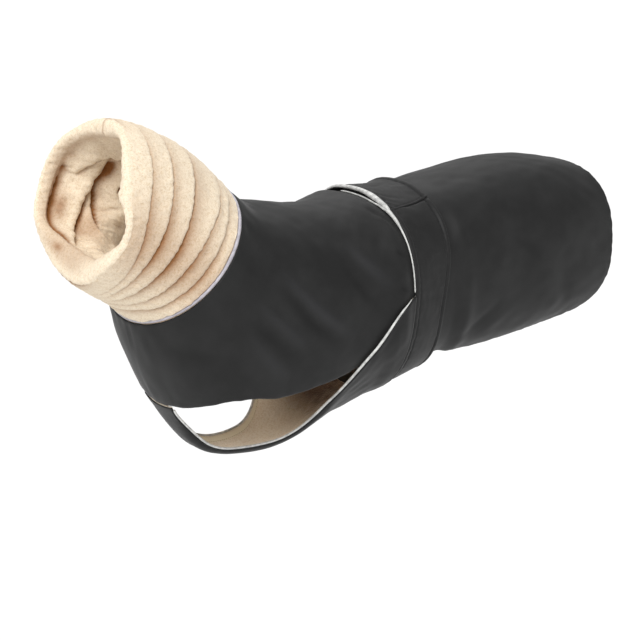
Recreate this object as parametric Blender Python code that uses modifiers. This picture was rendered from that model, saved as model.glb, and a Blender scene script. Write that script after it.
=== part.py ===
"""A dog's winter coat, filled out as on a standing dog, with nobody in it.

A black padded saddle closes round the base of the neck. A strap runs from it between the front legs
and widens into a belly piece, and a long band sewn behind that laps over the back. A slouchy fleece
snood stands on the neck seam, with its mouth rolled over and turned back inside.

Metres, +Z up. The head end is toward -X and the dog's left side toward -Y. The origin is inside the
back, under the middle of the belly band, where a dog's back carries the coat.
Two numbers place a point on the cloth: `at`, metres behind the neck seam along the middle of the body
(or in front of it, along the snood), and `turn`, degrees round the body from the back, left positive.
"""

import math
from collections import namedtuple

import bmesh
import bpy
import numpy as np

# ---- driving dimensions -------------------------------------------------------------------------
COAT_WALL = 0.0030  # shell, fleece and the quilting between them
SHELL_WALL = 0.0012  # outer cloth of the chest panel
FLEECE_WALL = 0.0020
BAND_WALL = 0.0025  # two layers of shell cloth over fleece
SEAM_GAP = 0.0003
LAP_GAP = 0.0008  # between a piece and the cloth it lies on
STAND_OFF = 0.0024  # the chest panel stands a little further off the saddle
BAND_FRONT = 0.2725  # the band's two edges, as `at`; it is a little wider over the back
BAND_REAR = 0.3325
BAND_FRONT_FLARE = 0.0035
BAND_REAR_FLARE = 0.0125
COAT_END = 0.605
STRAP_START = 0.078  # the chest strap's seam, at the front of the leg openings
BACK_SEAM = 0.302  # the saddle is cut in two here, and the band covers the seam all round

# ---- form of the body inside the coat -----------------------------------------------------------
Section = namedtuple("Section", "at x z tilt half_width up down square low_square")
BODY = (
    # tilt leans a section back at its top; the squares fill out its upper and lower corners
    Section(0.000, -0.275, -0.0205, 42, 0.100, 0.084, 0.084, 0.00, 0.00),
    Section(0.040, -0.250, -0.0495, 40, 0.106, 0.091, 0.109, 0.02, 0.02),
    Section(0.085, -0.214, -0.0805, 35, 0.110, 0.110, 0.139, 0.03, 0.03),
    Section(0.130, -0.170, -0.1075, 28, 0.111, 0.124, 0.165, 0.04, 0.00),
    Section(0.175, -0.124, -0.1195, 19, 0.110, 0.127, 0.155, 0.04, -0.06),
    Section(0.218, -0.083, -0.1165, 10, 0.109, 0.121, 0.128, 0.05, -0.10),
    Section(0.270, -0.032, -0.1045, 0, 0.109, 0.110, 0.112, 0.07, 0.02),
    Section(0.335, 0.033, -0.0945, -3, 0.098, 0.098, 0.108, 0.07, 0.06),
    Section(0.415, 0.113, -0.0925, -3, 0.099, 0.105, 0.110, 0.07, 0.06),
    Section(0.495, 0.193, -0.0895, -3, 0.101, 0.107, 0.108, 0.07, 0.06),
    Section(0.565, 0.257, -0.0905, -2, 0.100, 0.102, 0.102, 0.08, 0.06),
    Section(0.605, 0.299, -0.0955, 0, 0.096, 0.097, 0.091, 0.08, 0.06),
)

# ---- outlines of the pieces ---------------------------------------------------------------------
Hem = namedtuple("Hem", "at turn")
COAT_HEM = (
    # the saddle's lower edge: arched over the front leg, then lower along the flank
    Hem(0.078, 162),
    Hem(0.082, 149),
    Hem(0.089, 136),
    Hem(0.101, 126),
    Hem(0.130, 116),
    Hem(0.175, 109),
    Hem(0.218, 110),
    Hem(0.270, 124),
    Hem(0.335, 143),
    Hem(0.415, 145),
    Hem(0.495, 144),
    Hem(0.560, 139),
)
CORNER = 0.045  # length of the rounded corner at the end of the hem
CORNER_TURN = 96  # where that corner meets the rear edge
ChestRow = namedtuple("ChestRow", "edge_at edge_turn middle_at")
CHEST = (
    # rows of the chest panel, edge to edge through the middle: a strap between the legs, then the
    # rear edge of each leg opening, steep, then the slant up to the band's corner
    ChestRow(0.0792, 165, 0.0792),
    ChestRow(0.092, 167, 0.092),
    ChestRow(0.108, 168, 0.108),
    ChestRow(0.126, 168, 0.126),
    ChestRow(0.144, 168, 0.144),
    ChestRow(0.161, 166, 0.161),
    ChestRow(0.177, 162, 0.178),
    ChestRow(0.189, 154, 0.191),
    ChestRow(0.196, 141, 0.201),
    ChestRow(0.198, 128, 0.210),
    ChestRow(0.201, 115, 0.219),
    ChestRow(0.207, 106, 0.229),
    ChestRow(0.220, 99, 0.237),
    ChestRow(0.237, 91, 0.2455),
    ChestRow(0.254, 85, 0.253),
    ChestRow(0.2724, 82, 0.2599),
)

# ---- creases of the saddle ----------------------------------------------------------------------
Crease = namedtuple("Crease", "at turn to_at to_turn depth width")
CREASES = (
    # drag lines that run back and down from the shoulder to the leg opening, on both sides
    Crease(0.020, 47, 0.190, 92, 0.0034, 0.015),
    Crease(0.055, 73, 0.155, 97, 0.0022, 0.013),
    Crease(0.035, 83, 0.155, 107, 0.0028, 0.014),
    Crease(0.110, 28, 0.240, 70, 0.0024, 0.016),
    Crease(0.008, 138, 0.050, 102, 0.0020, 0.014),
    Crease(0.030, -52, 0.200, -90, 0.0030, 0.016),
    Crease(0.045, -80, 0.160, -106, 0.0030, 0.014),
    Crease(0.120, -24, 0.235, -64, 0.0022, 0.016),
    # soft dents over the rump and at the hem behind the band
    Crease(0.400, 48, 0.480, 112, 0.0020, 0.022),
    Crease(0.355, 136, 0.415, 104, 0.0026, 0.018),
    Crease(0.505, 76, 0.530, 130, 0.0018, 0.018),
    Crease(0.390, -54, 0.470, -118, 0.0024, 0.022),
    Crease(0.360, -134, 0.430, -100, 0.0022, 0.018),
)
ARC = 0.11  # metres of cloth for each radian of turn, near enough for measuring creases
CINCH = 0.0040  # how far the band draws the saddle in
CINCH_REACH = 0.020


def read(table, at):
    """The columns of a table at the distances `at`, on a smooth curve through its rows."""
    knots = np.array([row.at for row in table])
    values = np.array([row[1:] for row in table], float)
    slopes = np.gradient(values, knots, axis=0)
    at = np.clip(np.asarray(at, float), knots[0], knots[-1])
    i = np.clip(np.searchsorted(knots, at, side="right") - 1, 0, len(knots) - 2)
    span = (knots[i + 1] - knots[i])[..., None]
    t = (at - knots[i])[..., None] / span
    near = values[i] * (1 + 2 * t) * (1 - t) ** 2 + slopes[i] * span * t * (1 - t) ** 2
    far = values[i + 1] * t**2 * (3 - 2 * t) + slopes[i + 1] * span * t**2 * (t - 1)
    columns = np.moveaxis(near + far, -1, 0)
    return type(table[0])(at, *columns)


def ring_point(row, turn):
    """Points round a tilted, squared-off oval section."""
    angle = np.radians(turn)
    above = np.cos(angle) > 0
    fuller = 1 + np.where(above, row.square, row.low_square) * np.sin(2 * angle) ** 2
    reach = np.where(above, row.up, row.down)
    rise = reach * np.cos(angle) * fuller
    tilt = np.radians(row.tilt)
    x = row.x + rise * np.sin(tilt)
    y = -row.half_width * np.sin(angle) * fuller
    z = row.z + rise * np.cos(tilt)
    return np.stack([x, y, z], axis=-1)


def outward(surface, at, turn):
    """The unit normal of surface(at, turn), pointing away from the body."""
    step_at, step_turn = 0.0005, 0.25
    along = surface(at + step_at, turn) - surface(at - step_at, turn)
    around = surface(at, turn + step_turn) - surface(at, turn - step_turn)
    normal = np.cross(around, along)
    return normal / np.linalg.norm(normal, axis=-1, keepdims=True)


def smooth_step(value, low, high):
    t = np.clip((value - low) / (high - low), 0, 1)
    return t * t * (3 - 2 * t)


def crease_depth(at, turn):
    """How far the creases and the band's pull draw the saddle in."""
    depth = np.zeros(np.broadcast(at, turn).shape)
    for crease in CREASES:
        start = np.array([crease.at, math.radians(crease.turn) * ARC])
        run = np.array([crease.to_at, math.radians(crease.to_turn) * ARC]) - start
        away = np.stack(np.broadcast_arrays(at - start[0], np.radians(turn) * ARC - start[1]), -1)
        along = np.clip(away @ run / (run @ run), 0, 1)
        across = np.linalg.norm(away - along[..., None] * run, axis=-1)
        depth += crease.depth * np.sin(np.pi * along) * np.exp(-((across / crease.width) ** 2))
    drawn_in = smooth_step(at, BAND_FRONT - CINCH_REACH, BAND_FRONT)
    drawn_in = drawn_in * (1 - smooth_step(at, BAND_REAR + 0.008, BAND_REAR + 0.008 + CINCH_REACH))
    return depth * (1 - drawn_in) + CINCH * drawn_in


def body(at, turn):
    return ring_point(read(BODY, at), turn)


def saddle(at, turn, out=0.0):
    """Points on the inside of the saddle, or `out` metres outside it."""
    at, turn = np.broadcast_arrays(np.asarray(at, float), np.asarray(turn, float))
    normal = outward(body, at, turn)
    return body(at, turn) + normal * (out - crease_depth(at, turn))[..., None]


# ---- snood --------------------------------------------------------------------------------------
SNOOD = (
    # `at` here counts forward from the neck seam; the neck bends, so the throat side is the shorter
    Section(0.000, -0.275, -0.0205, 42, 0.100, 0.084, 0.084, 0.00, 0.00),
    Section(0.036, -0.304, 0.0045, 38, 0.097, 0.090, 0.083, 0.00, 0.00),
    Section(0.071, -0.335, 0.0265, 31, 0.093, 0.091, 0.083, 0.00, 0.00),
    Section(0.101, -0.361, 0.0415, 23, 0.089, 0.087, 0.082, 0.00, 0.00),
    Section(0.124, -0.383, 0.0505, 18, 0.084, 0.082, 0.080, 0.00, 0.00),
)
SNOOD_START = 0.0030
SNOOD_STAND = 0.0022  # its outside stands off the body's inner line
SNOOD_LENGTH = 0.112  # to where the mouth begins to roll over
ROLL_TOP = 0.0075  # radius of the rolled mouth
ROLL_LEFT = 0.0125
ROLL_RIGHT = 0.0065
ROLL_THROAT = 0.0145
ROLL_TAIL = 0.0020  # straight length after the roll, up to the seam with the facing
Gather = namedtuple("Gather", "nape side throat nape_depth side_depth throat_depth")
GATHERS = (
    # creases as fractions of the length from the seam to the mouth; they bunch together at the throat
    Gather(0.16, 0.14, 0.07, 0.0015, 0.0040, 0.0030),
    Gather(0.34, 0.30, 0.14, 0.0012, 0.0055, 0.0030),
    Gather(0.50, 0.51, 0.22, 0.0010, 0.0055, 0.0035),
    Gather(0.66, 0.70, 0.33, 0.0010, 0.0050, 0.0040),
    Gather(0.82, 0.87, 0.46, 0.0010, 0.0035, 0.0040),
)
Fold = namedtuple("Fold", "at turn height reach_at reach_turn lean")
FACING_FOLDS = (
    # soft folds of the turned-in fleece: where, how far they stand in, their half sizes and their slant
    Fold(0.05, -95, -0.003, 0.06, 90, 0.10),
    Fold(0.21, -95, 0.012, 0.10, 70, 0.18),
    Fold(0.53, -112, 0.022, 0.12, 45, 0.22),
    Fold(0.68, -60, 0.025, 0.16, 40, 0.00),
    Fold(0.40, 75, 0.007, 0.20, 55, 0.05),
    Fold(0.58, 165, 0.013, 0.20, 45, 0.05),
)
FACING_END = 0.0040


def neck(at, turn):
    return ring_point(read(SNOOD, at), turn)


def by_side(turn, nape, side, throat):
    """A value that is `nape` on top of the neck, `side` on both sides and `throat` underneath."""
    c = np.cos(np.radians(turn))
    return side + (nape - throat) / 2 * c + ((nape + throat) / 2 - side) * c * c


def roll_radius(turn):
    side = (ROLL_LEFT + ROLL_RIGHT) / 2 + (ROLL_LEFT - ROLL_RIGHT) / 2 * np.sin(np.radians(turn))
    return by_side(turn, ROLL_TOP, side, ROLL_THROAT)


def gather_at(rib, turn):
    """Where a crease crosses `turn`: rib 0 is the seam, then the gathers, and the last is the mouth."""
    lines = (Gather(0, 0, 0, 0, 0, 0),) + GATHERS + (Gather(1, 1, 1, 0, 0, 0),)
    low = np.minimum(rib.astype(int), len(lines) - 2)
    part_way = rib - low
    places = np.stack([by_side(turn, g.nape, g.side, g.throat) for g in lines])
    depths = np.stack([by_side(turn, g.nape_depth, g.side_depth, g.throat_depth) for g in lines])
    pick = lambda table, i: np.take_along_axis(table, i[None], 0)[0]
    place = pick(places, low) * (1 - part_way) + pick(places, low + 1) * part_way
    depth = pick(depths, low) * (1 - part_way) + pick(depths, low + 1) * part_way
    return place, depth * (1 - np.sin(np.pi * part_way**0.65) ** 0.8)


def snood_outside(rib, turn):
    """Outside of the snood.

    `rib` counts creases from the neck seam, then 1 for the rolled mouth and 1 for its tail.
    """
    rib, turn = np.broadcast_arrays(np.asarray(rib, float), np.asarray(turn, float))
    last = len(GATHERS) + 1
    along, crease = gather_at(np.minimum(rib, last), turn)
    at = SNOOD_START + (SNOOD_LENGTH - SNOOD_START) * along - ROLL_TAIL * np.clip(rib - last - 1, 0, 1)
    rolled = np.pi * np.clip(rib - last, 0, 1)
    radius = roll_radius(turn)
    out = SNOOD_STAND - crease - radius * (1 - np.cos(rolled))
    forward = axis_direction(at) * (radius * np.sin(rolled))[..., None]
    return neck(at, turn) - outward(neck, at, turn) * out[..., None] + forward


def axis_direction(at):
    tilt = np.radians(read(SNOOD, at).tilt)
    return np.stack([-np.cos(tilt), np.zeros_like(tilt), np.sin(tilt)], axis=-1)


def facing_outside(along, turn):
    """The side of the turned-in fleece that faces the snood: 0 at the roll, 1 at the neck seam."""
    along, turn = np.broadcast_arrays(np.asarray(along, float), np.asarray(turn, float))
    first = SNOOD_LENGTH - ROLL_TAIL - LAP_GAP * 1.5
    at = first - (first - FACING_END) * along
    seam = smooth_step(along, 0.70, 1.0)
    at_roll = 2 * roll_radius(turn) - FLEECE_WALL
    stands_in = at_roll * (1 - seam) + (FLEECE_WALL + LAP_GAP) * seam
    for fold in FACING_FOLDS:
        beside = (turn - fold.turn + 180) % 360 - 180
        away = (along - fold.at - fold.lean * beside / 90) / fold.reach_at
        height = fold.height * np.exp(-(away**2) - (beside / fold.reach_turn) ** 2)
        stands_in = stands_in + height * smooth_step(along, 0.0, 0.12) * (1 - smooth_step(along, 0.85, 1.0))
    return neck(at, turn) + outward(neck, at, turn) * (stands_in - SNOOD_STAND)[..., None]


# ---- making solids ------------------------------------------------------------------------------
Finish = namedtuple("Finish", "red green blue roughness metallic")
SHELL_CLOTH = Finish(0.035, 0.035, 0.037, 0.60, 0.0)
FLEECE = Finish(0.78, 0.62, 0.44, 0.95, 0.0)
WHITE_CORD = Finish(0.80, 0.80, 0.78, 0.60, 0.0)
GREY_CORD = Finish(0.45, 0.46, 0.48, 0.60, 0.0)


def material(name, finish):
    colour = (finish.red, finish.green, finish.blue, 1)
    made = bpy.data.materials.new(name)
    made.use_nodes = True
    shader = made.node_tree.nodes["Principled BSDF"]
    shader.inputs["Base Color"].default_value = colour
    shader.inputs["Roughness"].default_value = finish.roughness
    shader.inputs["Metallic"].default_value = finish.metallic
    made.diffuse_color = colour
    return made


def wall(name, points, thickness, finish, wrap=False, inward=False):
    """A cloth wall from a grid of points: an open sheet, or a tube with `wrap`, given its thickness.

    Where a point is not a number the sheet has a hole.
    """
    rows, columns = points.shape[:2]
    shape = bmesh.new()
    made = [[None if np.isnan(p[0]) else shape.verts.new(p) for p in row] for row in points]
    for i in range(rows - 1):
        for j in range(columns if wrap else columns - 1):
            k = (j + 1) % columns
            corners = (made[i][j], made[i][k], made[i + 1][k], made[i + 1][j])
            if None not in corners:
                shape.faces.new(corners)
    bmesh.ops.remove_doubles(shape, verts=shape.verts, dist=1e-6)
    mesh = bpy.data.meshes.new(name)
    shape.to_mesh(mesh)
    shape.free()
    mesh.materials.append(material(name, finish))
    mesh.shade_smooth()
    piece = bpy.data.objects.new(name, mesh)
    coat.objects.link(piece)
    solid = piece.modifiers.new("Thickness", "SOLIDIFY")
    solid.thickness = thickness
    solid.offset = -1 if inward else 1
    return piece


def cord(name, points, radii, finish, closed=False, sides=2):
    """A piping cord along `points`, with its own radius at each."""
    curve = bpy.data.curves.new(name, "CURVE")
    curve.dimensions = "3D"
    curve.bevel_depth = 1.0
    curve.bevel_resolution = sides
    curve.use_fill_caps = not closed
    line = curve.splines.new("POLY")
    line.points.add(len(points) - 1)
    for spot, point, radius in zip(line.points, points, radii):
        spot.co = (*point, 1)
        spot.radius = radius
    line.use_cyclic_u = closed
    curve.materials.append(material(name, finish))
    piece = bpy.data.objects.new(name, curve)
    coat.objects.link(piece)
    return piece


for old in list(bpy.data.objects):
    bpy.data.objects.remove(old)
coat = bpy.data.collections.new("Dog winter coat")
bpy.context.scene.collection.children.link(coat)


# ---- saddle -------------------------------------------------------------------------------------
def coat_hem(at):
    """The hem's turn. It runs round a corner into the rear edge."""
    turn = read(COAT_HEM, at).turn
    into_corner = np.clip((at - (COAT_END - CORNER)) / CORNER, 0, 1)
    return CORNER_TURN + (turn - CORNER_TURN) * np.sqrt(1 - into_corner**2)


CLOSED_AT = (0.0, 0.020, 0.040, 0.060, STRAP_START)
LEG_AT = (0.0815, 0.088, 0.097, 0.110, 0.126, 0.144, 0.162, 0.179, 0.194, 0.208, 0.222, 0.238, 0.255)
FRONT_BAND_AT = (0.272, 0.288, BACK_SEAM - SEAM_GAP / 2)
REAR_BAND_AT = (BACK_SEAM + SEAM_GAP / 2, 0.318, 0.334)
BACK_AT = (0.346, 0.362, 0.384, 0.411, 0.440, 0.469, 0.498, 0.527, 0.552)
CORNER_AT = (0.568, 0.584, 0.596, 0.603, COAT_END)
FLANK = 88  # columns keep their turn down to here, and share out what is left down to the hem
FLANK_COLUMNS, HEM_COLUMNS = 12, 5

neck_edge = 0.0024  # the saddle stops short of the piping in the neck seam
shoulder_at = CLOSED_AT + LEG_AT + FRONT_BAND_AT
saddle_at = shoulder_at + REAR_BAND_AT + BACK_AT + CORNER_AT
saddle_at = np.array([max(at, neck_edge) for at in saddle_at])
hem = coat_hem(np.maximum(saddle_at, STRAP_START))
above_flank = np.broadcast_to(np.linspace(0, FLANK, FLANK_COLUMNS + 1), (len(hem), FLANK_COLUMNS + 1))
below_flank = FLANK + (hem[:, None] - FLANK) * np.linspace(0, 1, HEM_COLUMNS + 1)[1:]
closed = saddle_at[:, None] <= STRAP_START
under_neck = np.where(closed, hem[:, None] + (180 - hem[:, None]) * np.array([0.5, 1.0]), np.nan)
left_turn = np.hstack([above_flank, below_flank, under_neck])
saddle_turn = np.hstack([-left_turn[:, :0:-1], left_turn])
saddle_grid = saddle(saddle_at[:, None], saddle_turn)
wall("shoulder_panel", saddle_grid[: len(shoulder_at)], COAT_WALL, SHELL_CLOTH)
wall("loin_panel", saddle_grid[len(shoulder_at) :], COAT_WALL, SHELL_CLOTH)

# ---- chest panel and its lining -----------------------------------------------------------------
CHEST_COLUMNS = 15
CHEST_ROWS = 22


def lift_over_hem(at):
    """How far the chest panel's inner face stands off the body: it passes outside the saddle's hem."""
    return (COAT_WALL + STAND_OFF) * smooth_step(at, 0.150, 0.195)


def chest(row, across, out=0.0):
    """`row` is a place in the CHEST table; `across` runs from -1 at the right edge to 1 at the left."""
    low = np.clip(np.floor(row).astype(int), 0, len(CHEST) - 2)
    table = np.array(CHEST)
    slopes = np.gradient(table, axis=0)
    t = (row - low)[..., None]
    near = table[low] * (1 + 2 * t) * (1 - t) ** 2 + slopes[low] * t * (1 - t) ** 2
    far = table[low + 1] * t**2 * (3 - 2 * t) + slopes[low + 1] * t**2 * (t - 1)
    edge_at, edge_turn, middle_at = np.moveaxis(near + far, -1, 0)
    at = middle_at + (edge_at - middle_at) * across**2
    turn = 180 - across * (180 - edge_turn)
    # at its rear corners it comes in to the band; under the belly the band hangs out to meet it
    snug = smooth_step(at, 0.2445, 0.2665) * (1 - smooth_step(abs(180 - turn), 90, 40))
    come_in = (STAND_OFF - LAP_GAP + crease_depth(at, turn)) * snug
    return saddle(at, turn, out + lift_over_hem(at) + crease_depth(at, turn) - come_in)


across = np.linspace(-1, 1, CHEST_COLUMNS)
chest_rows = np.linspace(0, len(CHEST) - 1, CHEST_ROWS)
chest_grid = np.broadcast_arrays(chest_rows[:, None], across)
wall("chest_lining", chest(*chest_grid)[:, ::-1], FLEECE_WALL, FLEECE)
wall("chest_panel", chest(*chest_grid, FLEECE_WALL + SEAM_GAP)[:, ::-1], SHELL_WALL, SHELL_CLOTH)

# ---- belly band ---------------------------------------------------------------------------------
# `unrolled` runs along the band in degrees: from the left wing's end over the back, down the left
# side, under the belly (180), up the right side and over the back again to the right wing's end
UNDER_END = -14
OVER_END = 387
LAP_START, LAP_FULL = 318, 342  # where the right wing rises to pass over the left one
BAND_STEPS = 75
BAND_ROWS = 4
FRONT_FORWARD = 0.0085  # it runs further forward under the belly, and hangs a little off it there
REAR_FORWARD = 0.0090
BAND_SAG = 0.0045


def band_edge(unrolled, across):
    """The band's `at`: across is 0 at its front edge and 1 at its rear edge."""
    c = np.cos(np.radians(unrolled))
    from_belly = abs(180 - unrolled)
    front = BAND_FRONT + BAND_FRONT_FLARE * c
    front = front - FRONT_FORWARD * (1 - np.minimum(1, from_belly / (180 - CHEST[-1].edge_turn)) ** 2)
    rear = BAND_REAR + BAND_REAR_FLARE * c - REAR_FORWARD * smooth_step(from_belly, 118, 68)
    return front + (rear - front) * across


def band_height(unrolled):
    """How far the band's inner face is off the saddle's inner face."""
    lap = BAND_WALL + LAP_GAP
    sag = BAND_SAG * smooth_step(abs(180 - unrolled), 90, 40)
    return COAT_WALL + LAP_GAP + lap * smooth_step(unrolled, LAP_START, LAP_FULL) + sag


unrolled = np.linspace(UNDER_END, OVER_END, BAND_STEPS)
band_across = np.linspace(0, 1, BAND_ROWS)
band_points = saddle(band_edge(unrolled, band_across[:, None]), unrolled, band_height(unrolled))
wall("belly_band", band_points, BAND_WALL, SHELL_CLOTH)

# ---- piping -------------------------------------------------------------------------------------
PIPE_NECK = 0.0018
PIPE_CHEST = 0.0014
PIPE_BAND = 0.0014
PIPE_OVER = 0.0030  # the right wing's piping swells to this where it crosses the back
OVER_LIFT = 0.0012
PIPE_CLEAR = 3.5  # degrees left free between the piping's end and the band's corner

neck_turn = np.linspace(-180, 180, 41)[:-1]
neck_line = saddle(0.0 * neck_turn, neck_turn, COAT_WALL * 0.5)
cord("neck_piping", neck_line, np.full(len(neck_line), PIPE_NECK), GREY_CORD, closed=True)


def beside(edge, inner, distance):
    """A line that runs `distance` outside the edge of a piece; `inner` is a line just inside the edge."""
    along = np.gradient(edge, axis=0)
    along /= np.linalg.norm(along, axis=-1, keepdims=True)
    away = edge - inner
    away -= along * np.sum(away * along, axis=-1, keepdims=True)
    away /= np.linalg.norm(away, axis=-1, keepdims=True)
    return edge + away * np.reshape(distance, (-1, 1))


def band_pipe(start, end, steps, radius, lift):
    """Piping along the band's front edge, between two places on it."""
    places = np.linspace(start, end, steps)
    height = band_height(places) + BAND_WALL * 0.5 + lift(places)
    edge = saddle(band_edge(places, 0.0), places, height)
    inner = saddle(band_edge(places, 0.1), places, height)
    radii = radius(places)
    return beside(edge, inner, radii + SEAM_GAP), radii


corner_turn = CHEST[-1].edge_turn
left_pipe = band_pipe(
    UNDER_END + 1, corner_turn - PIPE_CLEAR, 16, lambda p: PIPE_BAND + 0 * p, lambda p: 0 * p
)
cord("band_piping_left", *left_pipe, WHITE_CORD)


def over_swell(places):
    return smooth_step(places, 325, 352) * (1 - 0.5 * smooth_step(places, 376, OVER_END))


right_pipe = band_pipe(
    360 - corner_turn + PIPE_CLEAR,
    OVER_END - 0.5,
    22,
    lambda p: PIPE_BAND + (PIPE_OVER - PIPE_BAND) * over_swell(p),
    lambda p: OVER_LIFT * smooth_step(p, 325, 345),
)
cord("band_piping_right", *right_pipe, WHITE_CORD)

middle = chest(*chest_grid, (FLEECE_WALL + SEAM_GAP + SHELL_WALL) * 0.5)
for name, edge, inner in (
    ("chest_piping_left", middle[:, -1], middle[:, -2]),
    ("chest_piping_right", middle[:, 0], middle[:, 1]),
):
    path = beside(edge, inner, PIPE_CHEST + SEAM_GAP)
    path[0] += (path[1] - path[0]) * 0.3
    path[-1] += (path[-2] - path[-1]) * 0.2
    cord(name, path, np.full(len(path), PIPE_CHEST), WHITE_CORD)

# ---- snood and its facing -----------------------------------------------------------------------
SNOOD_COLUMNS = 36
ROWS_PER_GATHER = 4
ROLL_ROWS = 5
round_turn = np.linspace(-180, 180, SNOOD_COLUMNS + 1)[:-1]
tube_rows = np.linspace(0, len(GATHERS) + 1, (len(GATHERS) + 1) * ROWS_PER_GATHER + 1)
roll_rows = len(GATHERS) + 1 + np.append(np.linspace(0, 1, ROLL_ROWS + 1)[1:], 2)
snood_rows = np.concatenate([tube_rows, roll_rows])
snood_grid = snood_outside(snood_rows[:, None], round_turn)[:, ::-1]
wall("snood", snood_grid, FLEECE_WALL, FLEECE, wrap=True, inward=True)

FACING_ROWS = 16
facing_rows = np.linspace(0, 1, FACING_ROWS)
facing_grid = facing_outside(facing_rows[:, None], round_turn)
wall("snood_facing", facing_grid, FLEECE_WALL, FLEECE, wrap=True, inward=True)
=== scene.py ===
"""The finish of a dog's winter coat with a fleece snood: its cloth, creases, sewing and light.

Metres, +Z up, in the frame of the coat's solids: the head end is toward -X, the left side toward -Y.
Two numbers place a point on the cloth: `at`, metres behind the neck seam along the middle of the body
(or in front of it, along the snood), and `turn`, degrees round the body from the back, left positive.
"""

import math
from collections import namedtuple

import bpy
import numpy as np
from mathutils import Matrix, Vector


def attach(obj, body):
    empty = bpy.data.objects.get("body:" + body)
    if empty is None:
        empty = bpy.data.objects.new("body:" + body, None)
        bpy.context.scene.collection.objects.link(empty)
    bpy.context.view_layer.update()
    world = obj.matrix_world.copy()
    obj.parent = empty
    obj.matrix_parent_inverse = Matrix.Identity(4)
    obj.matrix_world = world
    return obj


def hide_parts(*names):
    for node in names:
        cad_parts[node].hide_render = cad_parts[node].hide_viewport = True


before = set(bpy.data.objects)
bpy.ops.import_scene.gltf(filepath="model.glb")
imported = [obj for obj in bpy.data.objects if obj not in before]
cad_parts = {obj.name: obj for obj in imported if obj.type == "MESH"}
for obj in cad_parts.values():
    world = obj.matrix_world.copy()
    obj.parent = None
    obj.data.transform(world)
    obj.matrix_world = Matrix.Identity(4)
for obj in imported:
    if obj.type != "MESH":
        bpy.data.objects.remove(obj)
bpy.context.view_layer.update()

# ==== The back's shell ============================================================================
# Two panels of matt black shell cloth. The front one closes round the base of the neck, the rear one
# covers the loins, and the belly band hides their seam. Both hang to a hem on each side. They are sewn
# edge to edge with their lining and turned, so the edges are round, and they crease in drag lines.

COAT_WALL = 0.0030  # shell and fleece together
SHELL_WALL = 0.0011
THINNEST_SHELL = 0.0004  # at its turned edges
BAND_FRONT = 0.2725  # where the belly band lies over the back
BAND_REAR = 0.3325
BACK_SEAM = 0.302  # between the two panels
SEAM_GAP = 0.0003
COAT_END = 0.605
STRAP_START = 0.078  # the coat is closed round the body in front of it, and open below behind it
NECK_EDGE = 0.0024
NECK_TUCK = 0.0003  # the front edge starts to turn this far inside the neck seam
EDGE_HEIGHT = 0.0012
EDGE_RADIUS = 0.0026  # of the turned edge

Section = namedtuple("Section", "at x z tilt half_width up down square low_square")
BODY = (
    # tilt leans a section back at its top; the squares fill out its upper and lower corners
    Section(0.000, -0.275, -0.0205, 42, 0.100, 0.084, 0.084, 0.00, 0.00),
    Section(0.040, -0.250, -0.0495, 40, 0.106, 0.091, 0.109, 0.02, 0.02),
    Section(0.085, -0.214, -0.0805, 35, 0.110, 0.110, 0.139, 0.03, 0.03),
    Section(0.130, -0.170, -0.1075, 28, 0.111, 0.124, 0.165, 0.04, 0.00),
    Section(0.175, -0.124, -0.1195, 19, 0.110, 0.127, 0.155, 0.04, -0.06),
    Section(0.218, -0.083, -0.1165, 10, 0.109, 0.121, 0.128, 0.05, -0.10),
    Section(0.270, -0.032, -0.1045, 0, 0.109, 0.110, 0.112, 0.07, 0.02),
    Section(0.335, 0.033, -0.0945, -3, 0.098, 0.098, 0.108, 0.07, 0.06),
    Section(0.415, 0.113, -0.0925, -3, 0.099, 0.105, 0.110, 0.07, 0.06),
    Section(0.495, 0.193, -0.0895, -3, 0.101, 0.107, 0.108, 0.07, 0.06),
    Section(0.565, 0.257, -0.0905, -2, 0.100, 0.102, 0.102, 0.08, 0.06),
    Section(0.605, 0.299, -0.0955, 0, 0.096, 0.097, 0.091, 0.08, 0.06),
)
Hem = namedtuple("Hem", "at turn")
COAT_HEM = (
    Hem(0.078, 162),
    Hem(0.082, 149),
    Hem(0.089, 136),
    Hem(0.101, 126),
    Hem(0.130, 116),
    Hem(0.175, 109),
    Hem(0.218, 110),
    Hem(0.270, 124),
    Hem(0.335, 143),
    Hem(0.415, 145),
    Hem(0.495, 144),
    Hem(0.560, 139),
)
CORNER = 0.045  # how far the rear corners reach forward along the hem
CORNER_TURN = 96  # where they run into the rear edge
Crease = namedtuple("Crease", "at turn to_at to_turn depth width")
MAIN_CREASES = (
    # the large ones, which the padding follows too
    Crease(0.020, 47, 0.190, 92, 0.0034, 0.015),
    Crease(0.055, 73, 0.155, 97, 0.0022, 0.013),
    Crease(0.035, 83, 0.155, 107, 0.0028, 0.014),
    Crease(0.110, 28, 0.240, 70, 0.0024, 0.016),
    Crease(0.008, 138, 0.050, 102, 0.0020, 0.014),
    Crease(0.030, -52, 0.200, -90, 0.0030, 0.016),
    Crease(0.045, -80, 0.160, -106, 0.0030, 0.014),
    Crease(0.120, -24, 0.235, -64, 0.0022, 0.016),
    Crease(0.400, 48, 0.480, 112, 0.0020, 0.022),
    Crease(0.355, 136, 0.415, 104, 0.0026, 0.018),
    Crease(0.505, 76, 0.530, 130, 0.0018, 0.018),
    Crease(0.390, -54, 0.470, -118, 0.0024, 0.022),
    Crease(0.360, -134, 0.430, -100, 0.0022, 0.018),
    Crease(0.3585, -74, 0.3580, 66, 0.0030, 0.015),
)
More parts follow.
